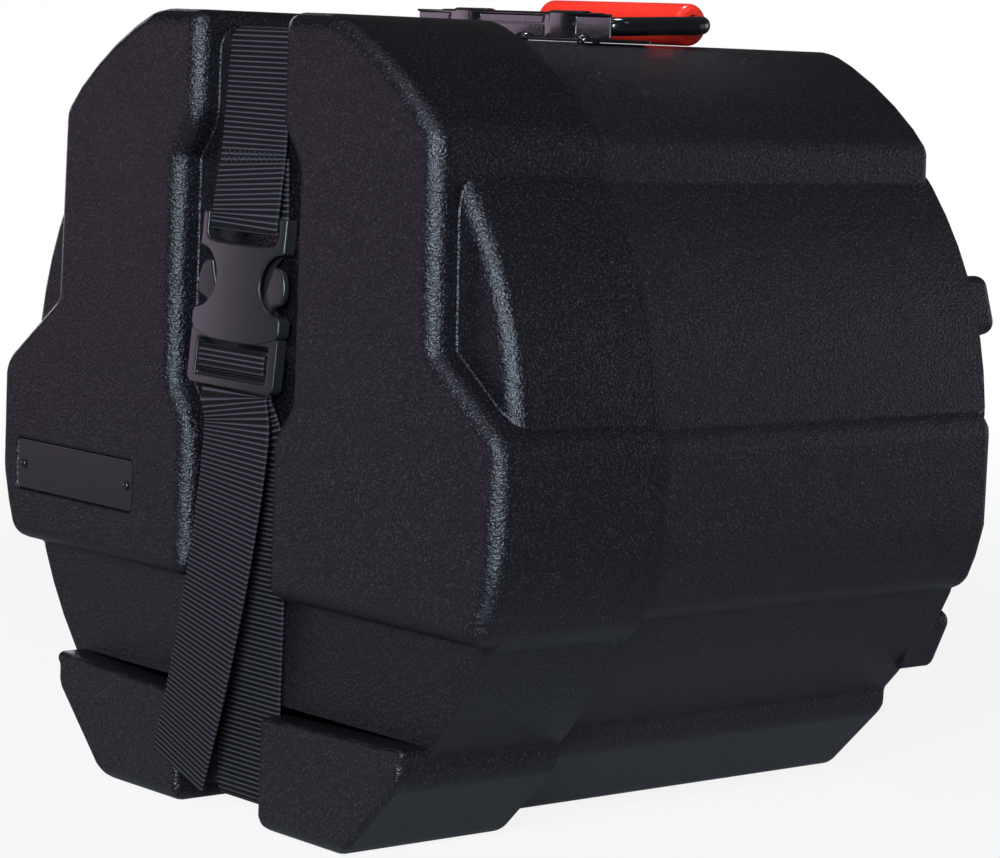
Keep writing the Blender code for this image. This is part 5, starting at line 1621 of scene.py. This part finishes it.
def bracket_solid():
    """A pressed sheet: base, curled front wall with its lip, and two knuckles for the bail."""
    low = BODY_TOP_Z + SEAT_GAP
    inside = low + BRACKET_SHEET / 2
    half = BRACKET_HALF_WIDTH
    wall_back = HINGE_DEPTH - BAIL_ROD_RADIUS - 2 * SEAT_GAP
    wall_front = wall_back - FRONT_WALL
    wall_top = BODY_TOP_Z + FRONT_WALL_HEIGHT
    axis_z = BODY_TOP_Z + HINGE_HEIGHT
    base = ((-half, HINGE_DEPTH - BRACKET_REACH), (half, HINGE_DEPTH + BRACKET_REACH))
    plan = rounded_box(base, BRACKET_CORNER, ROUND_STEP)
    bm = prism([(x, depth(y), low) for x, y in plan], (0, 0, BRACKET_SHEET))
    parts = [block((-half, wall_front, inside), (half, wall_back, wall_top)),
             block((-half, wall_front - CURL_REACH, wall_top - CURL_HEIGHT),
                   (half, wall_back - CURL_BACK_GAP, wall_top)),
             rolled_cover(0, HOOD_HALF_WIDTH, HOOD_RADII, axis_z)]
    for middle in (-KNUCKLE_X, KNUCKLE_X):
        parts.append(rolled_cover(middle, KNUCKLE_HALF_WIDTH, KNUCKLE_RADII, axis_z))
        parts.append(knuckle_ridge(middle, wall_front, wall_back, inside, wall_top - RIDGE_TOP_GAP))
    bm = combine(bm, parts, "UNION")
    bore = BAIL_ROD_RADIUS + SEAT_GAP
    end = half + 2 * OVERLAP
    rod = turned(((0, -end), (bore, -end), (bore, end), (0, end)), (0, depth(HINGE_DEPTH), axis_z), (1, 0, 0),
                 BORE_SIDES)
    bm = combine(bm, [rod], "DIFFERENCE")
    tidy(bm)
    return round_edges(bm, BRACKET_ROUND, steps=3)


RIVET_PITCH = 0.0435
RIVET_FRONT_GAP = 0.016
RIVET_BACK_GAP = 0.017
RIVET_BACK_X = 0.040


def handle_rivet_places():
    front = HINGE_DEPTH - RIVET_FRONT_GAP
    back = HINGE_DEPTH + RIVET_BACK_GAP
    places = [(RIVET_PITCH * (k - 1.5), front) for k in range(4)]
    return places + [(-RIVET_BACK_X, back), (RIVET_BACK_X, back)]


RIVET_TAIL_HEIGHT = 0.0012
RIVET_TAIL_TAPER = 0.8
DOME_STEPS = 7
DOME_FULLNESS = 0.9
PLATE_THICKNESS = 0.0015


def rivet_profile(head_base, tail_base, head=0.0045, shank=0.0020, rise=0.0020, tail=0.0032):
    """A set rivet from its tail up to its domed head."""
    end = tail_base - RIVET_TAIL_HEIGHT
    profile = [(0, end), (tail * RIVET_TAIL_TAPER, end), (tail, tail_base - RIVET_TAIL_HEIGHT / 2),
               (tail, tail_base), (shank, tail_base), (shank, head_base), (head, head_base)]
    for k in range(1, DOME_STEPS):
        angle = QUARTER_TURN * k / DOME_STEPS
        profile.append((head * math.cos(angle), head_base + rise * math.sin(angle) ** DOME_FULLNESS))
    return profile + [(0, head_base + rise)]


class TOMCASE_OT_handle(bpy.types.Operator):
    """Build the handle, its hinge bracket and its rivets"""
    bl_idname = "tomcase.handle"
    bl_label = "Handle"

    def execute(self, context):
        settings = context.scene.tom_case_handle
        steel = finish_named("black_enamel", black_enamel, settings)
        grip = finish_named("red_grip", red_grip, settings)
        finish_piece("bracket_pressing", bracket_solid(), "case_body", steel,
                     ["handle_bracket"])
        finish_piece("bail_rod", bail_solid(), "handle", steel, ["handle_bail"])
        finish_piece("grip_sleeve", grip_solid(), "handle", grip, ["handle_grip"])
        head = BODY_TOP_Z + BRACKET_SHEET + 2 * SEAT_GAP
        tail = BODY_TOP_Z - SHELL_WALL - PLATE_THICKNESS - 2 * SEAT_GAP
        for k, (x, y) in enumerate(handle_rivet_places(), 1):
            bm = turned(rivet_profile(head, tail), (x, depth(y), 0), (0, 0, 1))
            finish_piece("dome_rivet_%d" % k, bm, "case_body", steel, ["handle_rivet_%d" % k])
        plated = finish_named("plated_steel", plain_steel)
        for name in ("handle_backing_plate", "strap_anchor_plate", "strap_rivet_1", "strap_rivet_2"):
            node = bpy.data.objects[name]
            node.data.materials.clear()
            node.data.materials.append(plated)
        return {"FINISHED"}


# Label

PLATE_CORNER = 0.0020
PLATE_ROUND = 0.0003
STUD_TAIL = -0.0060
STUD_HEAD_RADIUS = 0.0024
STUD_SHANK_RADIUS = 0.0012
STUD_RISE = 0.0014
STUD_TAIL_RADIUS = 0.0016
STUD_SIDES = 28


class TOMCASE_OT_label(bpy.types.Operator):
    """Build the bare label plate and its rivets"""
    bl_idname = "tomcase.label"
    bl_label = "Label plate"

    def execute(self, context):
        settings = context.scene.tom_case_handle
        finish = finish_named("label_enamel", label_enamel, settings)
        front = LABEL_POCKET_DEPTH - SEAT_GAP - LABEL_THICKNESS
        (left, low), (right, high) = LABEL_BOX
        gap = SEAT_GAP
        outline = rounded_box(((left + gap, low + gap), (right - gap, high - gap)), PLATE_CORNER)
        plate = round_edges(slab(outline, front, front + LABEL_THICKNESS), PLATE_ROUND, steps=2)
        finish_piece("label_sheet", plate, "lid", finish, ["label_plate"])
        steel = finish_named("black_enamel", black_enamel, settings)
        middle = (low + high) / 2
        profile = rivet_profile(gap - front, STUD_TAIL, STUD_HEAD_RADIUS, STUD_SHANK_RADIUS, STUD_RISE,
                                STUD_TAIL_RADIUS)
        for k, x in enumerate((left + LABEL_RIVET_INSET, right - LABEL_RIVET_INSET), 1):
            bm = turned(profile, (x, FRONT_Y, middle), (0, -1, 0), STUD_SIDES)
            finish_piece("label_stud_%d" % k, bm, "lid", steel, ["label_rivet_%d" % k])
        return {"FINISHED"}


# Foam

FOAM_MARGIN = 0.006
FOAM_ROUND = 0.0025
LINER_FRONT_GAP = 0.006
LINER_SHARP_ANGLE = 30
BACKING_HALF_WIDTH = 0.0695
ANCHOR_HALF_LENGTH = 0.010
LINER_BORE_SIDES = 96
BORE_BEYOND = 0.1


def backing_room():
    margin = FOAM_MARGIN + 3 * SEAT_GAP
    low = BODY_TOP_Z - SHELL_WALL - PLATE_THICKNESS - RIVET_TAIL_HEIGHT - margin - SEAT_GAP
    return block((-BACKING_HALF_WIDTH - margin, HINGE_DEPTH - BRACKET_REACH - margin, low),
                 (BACKING_HALF_WIDTH + margin, HINGE_DEPTH + BRACKET_REACH + margin, BODY_TOP_Z))


def anchor_room():
    margin = FOAM_MARGIN
    top = BODY_BOTTOM_Z + SHELL_WALL + PLATE_THICKNESS + RIVET_TAIL_HEIGHT + margin
    return block((-HALF_STRAP - margin, ANCHOR_DEPTH - ANCHOR_HALF_LENGTH - margin, BODY_BOTTOM_Z),
                 (HALF_STRAP + margin, ANCHOR_DEPTH + ANCHOR_HALF_LENGTH + margin, top))


def liner_solid():
    """Foam round the drum, with room for the plates behind the handle and the strap's anchor."""
    back = CASE_DEPTH - SHELL_WALL - END_PAD_THICKNESS - 2 * SEAT_GAP
    split = COLLAR_BACK + SEAT_GAP
    bm = slab(inset(case_outline(channels=False), LINER_ROOM), split, back)
    collar = slab(inset(case_outline(), LINER_ROOM), RIM_DEPTH + LINER_FRONT_GAP, split + SHELL_WALL)
    bm = combine(bm, [collar], "UNION")
    radius, start, end = LINER_BORE_RADIUS, -BORE_BEYOND, CASE_DEPTH + BORE_BEYOND
    bore = turned(((0, start), (radius, start), (radius, end), (0, end)), (0, FRONT_Y, CENTRE_Z), (0, 1, 0),
                  LINER_BORE_SIDES)
    bm = combine(bm, [bore, backing_room(), anchor_room()], "DIFFERENCE")
    tidy(bm)
    return bm


def end_pad_solid(outline, front, back):
    return round_edges(slab(outline, front, back), FOAM_ROUND, steps=3)


class TOMCASE_OT_foam(bpy.types.Operator):
    """Build the foam lining"""
    bl_idname = "tomcase.foam"
    bl_label = "Foam lining"

    def execute(self, context):
        finish = finish_named("open_foam", open_foam, context.scene.tom_case_shell)
        liner = finish_piece("side_foam", liner_solid(), "case_body", finish, ["body_side_liner"],
                             LINER_SHARP_ANGLE)
        back = CASE_DEPTH - SHELL_WALL - SEAT_GAP
        rear = end_pad_solid(inset(case_outline(channels=False), LINER_ROOM), back - END_PAD_THICKNESS, back)
        rear = finish_piece("rear_foam", rear, "case_body", finish, ["body_end_pad"])
        front = LID_FLOOR + SEAT_GAP
        fore = end_pad_solid(inset(case_outline(), SHELL_WALL + SEAT_GAP), front, front + END_PAD_THICKNESS)
        fore = finish_piece("lid_foam", fore, "lid", finish, ["lid_end_pad"])
        return {"FINISHED"}


# Stage

class TOMCASE_OT_stage(bpy.types.Operator):
    """Set up the floor, the lights and the camera"""
    bl_idname = "tomcase.stage"
    bl_label = "Stage"

    def execute(self, context):
        settings = context.scene.tom_case_stage
        make_floor(settings)
        make_lights(settings)
        make_camera(settings)
        context.scene.view_settings.view_transform = "Standard"
        return {"FINISHED"}


MIRROR_SHARE = 0.03
FLOOR_BOUNCE = 0.45
FLOOR_RADIUS = 9.0
FLOOR_SIDES = 64
PLAIN_WHITE_FROM = 0.6
PLAIN_WHITE_TO = 2.0


def seen_white(nodes):
    """1 for camera and clear rays, which see plain white, and a little for mirror rays, as in a dark room."""
    rays = nodes.node("ShaderNodeLightPath", {}, {}).outputs
    seen = Signal(nodes, rays["Is Camera Ray"])
    glossy = Signal(nodes, rays["Is Glossy Ray"])
    clear = Signal(nodes, rays["Is Transmission Ray"])
    return seen.math("MAXIMUM", seen.math("MAXIMUM", seen, glossy * MIRROR_SHARE), clear)


def floor_paper(settings):
    """Matt paper that glows for the camera alone, fully so away from the case."""
    finish = Finish("floor_paper", 0.9)
    seen = Signal(finish, finish.node("ShaderNodeLightPath", {}, {}).outputs["Is Camera Ray"])
    dim = shade(settings.floor_colour, FLOOR_BOUNCE)
    material = finish.feed(base_color=finish.mix(seen, dim, tuple(settings.floor_colour)))
    spot = Signal(finish, finish.coords.outputs["Object"])
    away = finish.node("ShaderNodeVectorMath", {"operation": "LENGTH"}, {0: spot})
    values = {"Value": Signal(finish, away.outputs["Value"]), "From Min": PLAIN_WHITE_FROM,
              "From Max": PLAIN_WHITE_TO, "To Min": settings.floor_glow}
    fade = finish.node("ShaderNodeMapRange", {"interpolation_type": "SMOOTHSTEP"}, values)
    glow = finish.node("ShaderNodeEmission", {}, {})
    share = seen_white(finish) * Signal(finish, fade.outputs[0])
    shaders = {1: Signal(finish, finish.shader.outputs[0]), 2: Signal(finish, glow.outputs[0])}
    mixed = finish.node("ShaderNodeMixShader", {}, {0: share, **shaders})
    finish.give(finish.tree.nodes["Material Output"].inputs[0], Signal(finish, mixed.outputs[0]))
    return material


def make_floor(settings):
    """A wide pale floor: white to the camera, with the case's soft shadow left on it."""
    bm = bmesh.new()
    bmesh.ops.create_circle(bm, cap_ends=True, segments=FLOOR_SIDES, radius=FLOOR_RADIUS)
    floor = new_object("floor", bm)
    floor.data.materials.append(floor_paper(settings))


WIDE_BEAM = math.radians(60)
NARROW_BEAM = math.radians(24)

# Each softbox: azimuth, elevation, distance, size, share of the key's power, colour, beam
SOFTBOXES = {
    "key_softbox": (40, 16, 2.4, (0.7, 1.3), 1.0, (0.72, 0.84, 1.0), WIDE_BEAM),
    "handle_softbox": (180, 80, 0.62, (0.12, 0.12), 0.0058, (1.0, 0.97, 1.0), NARROW_BEAM),
    "top_softbox": (8, 60, 2.4, (1.4, 0.8), 0.12, (0.85, 0.88, 1.0), WIDE_BEAM),
    "left_softbox": (-56, -4, 2.6, (1.0, 1.6), 0.095, (1.0, 0.76, 1.0), WIDE_BEAM),
    "rear_top_softbox": (118, 48, 2.2, (0.5, 0.5), 0.016, (0.72, 0.80, 1.0), WIDE_BEAM),
    "back_softbox": (176, 2, 2.6, (1.0, 1.2), 0.043, (0.96, 0.96, 1.0), WIDE_BEAM),
    "far_side_softbox": (-112, 6, 2.6, (0.9, 1.2), 0.08, (0.92, 0.95, 1.0), WIDE_BEAM),
    "rear_softbox": (150, 2, 1.4, (0.5, 0.9), 0.0085, (0.90, 0.78, 1.0), WIDE_BEAM),
}


def make_lights(settings):
    world = bpy.data.worlds.new("studio")
    bpy.context.scene.world = world
    world.use_nodes = True
    nodes = Nodes(world.node_tree)
    background = nodes.tree.nodes["Background"]
    nodes.give(background.inputs["Color"], (1, 1, 1, 1))
    values = {"Value": seen_white(nodes), "To Min": settings.room_light}
    strength = nodes.node("ShaderNodeMapRange", {}, values)
    nodes.give(background.inputs["Strength"], Signal(nodes, strength.outputs[0]))
    for name, sizes in SOFTBOXES.items():
        add_softbox(name, settings.key_power, *sizes)


def looking_back(azimuth, elevation):
    """The direction from the case towards a lamp or a camera."""
    return Vector((math.sin(azimuth) * math.cos(elevation), -math.cos(azimuth) * math.cos(elevation),
                   math.sin(elevation)))


def add_softbox(name, power, azimuth, elevation, distance, size, share, colour, beam):
    """A rectangular lamp that looks at the case's middle from an azimuth and an elevation in degrees."""
    away = looking_back(math.radians(azimuth), math.radians(elevation))
    data = bpy.data.lights.new(name, "AREA")
    data.shape = "RECTANGLE"
    data.size, data.size_y = size
    data.energy = power * share
    data.color = colour
    data.spread = beam
    lamp = bpy.data.objects.new(name, data)
    bpy.context.scene.collection.objects.link(lamp)
    lamp.visible_camera = False
    lamp.location = Vector((0, 0, CENTRE_Z)) + away * distance
    lamp.rotation_euler = away.to_track_quat("Z", "Y").to_euler()


CAMERA_AZIMUTH = math.radians(49.40)
CAMERA_ELEVATION = math.radians(6.40)
CAMERA_ROLL = math.radians(2.30)
CAMERA_PLACE = (1.35928, -0.97824, 0.38805)
CAMERA_SHIFT = (-0.0149, -0.0011)
SENSOR_WIDTH = 36


def make_camera(settings):
    """The photograph's view."""
    roll = CAMERA_ROLL
    back = looking_back(CAMERA_AZIMUTH, CAMERA_ELEVATION)
    right = Vector((math.cos(CAMERA_AZIMUTH), math.sin(CAMERA_AZIMUTH), 0))
    up = back.cross(right)
    across = math.cos(roll) * right + math.sin(roll) * up
    rise = math.cos(roll) * up - math.sin(roll) * right
    place = Matrix((across, rise, back)).transposed().to_4x4()
    place.translation = (CAMERA_PLACE[0], depth(CAMERA_PLACE[1]), CAMERA_PLACE[2])
    data = bpy.data.cameras.new("camera")
    data.lens = settings.lens
    data.sensor_width = SENSOR_WIDTH
    data.shift_x, data.shift_y = CAMERA_SHIFT
    camera = bpy.data.objects.new("camera", data)
    bpy.context.scene.collection.objects.link(camera)
    camera.matrix_world = place
    bpy.context.scene.camera = camera


# Add-on

SETTINGS = (("tom_case_shell", TomCaseShell), ("tom_case_strap", TomCaseStrap),
            ("tom_case_handle", TomCaseHandle), ("tom_case_stage", TomCaseStage))
OPERATORS = (TOMCASE_OT_shells, TOMCASE_OT_foam, TOMCASE_OT_straps, TOMCASE_OT_buckle, TOMCASE_OT_handle,
             TOMCASE_OT_label, TOMCASE_OT_stage)


class TOMCASE_PT_panel(bpy.types.Panel):
    """The case's settings and steps"""
    bl_idname = "TOMCASE_PT_panel"
    bl_label = "Tom case"
    bl_space_type = "VIEW_3D"
    bl_region_type = "UI"
    bl_category = "Tom Case"

    def draw(self, context):
        for name, group in SETTINGS:
            box = self.layout.box()
            settings = getattr(context.scene, name)
            for label in group.__annotations__:
                box.prop(settings, label)
        for step in OPERATORS:
            self.layout.operator(step.bl_idname)


def register():
    for name, group in SETTINGS:
        bpy.utils.register_class(group)
        setattr(bpy.types.Scene, name, bpy.props.PointerProperty(type=group))
    for step in OPERATORS:
        bpy.utils.register_class(step)
    bpy.utils.register_class(TOMCASE_PT_panel)


def unregister():
    bpy.utils.unregister_class(TOMCASE_PT_panel)
    for step in reversed(OPERATORS):
        bpy.utils.unregister_class(step)
    for name, group in reversed(SETTINGS):
        delattr(bpy.types.Scene, name)
        bpy.utils.unregister_class(group)


def main():
    register()
    for step in OPERATORS:
        family, name = step.bl_idname.split(".")
        getattr(getattr(bpy.ops, family), name)()
    bpy.context.view_layer.update()


if __name__ == "__main__":
    main()
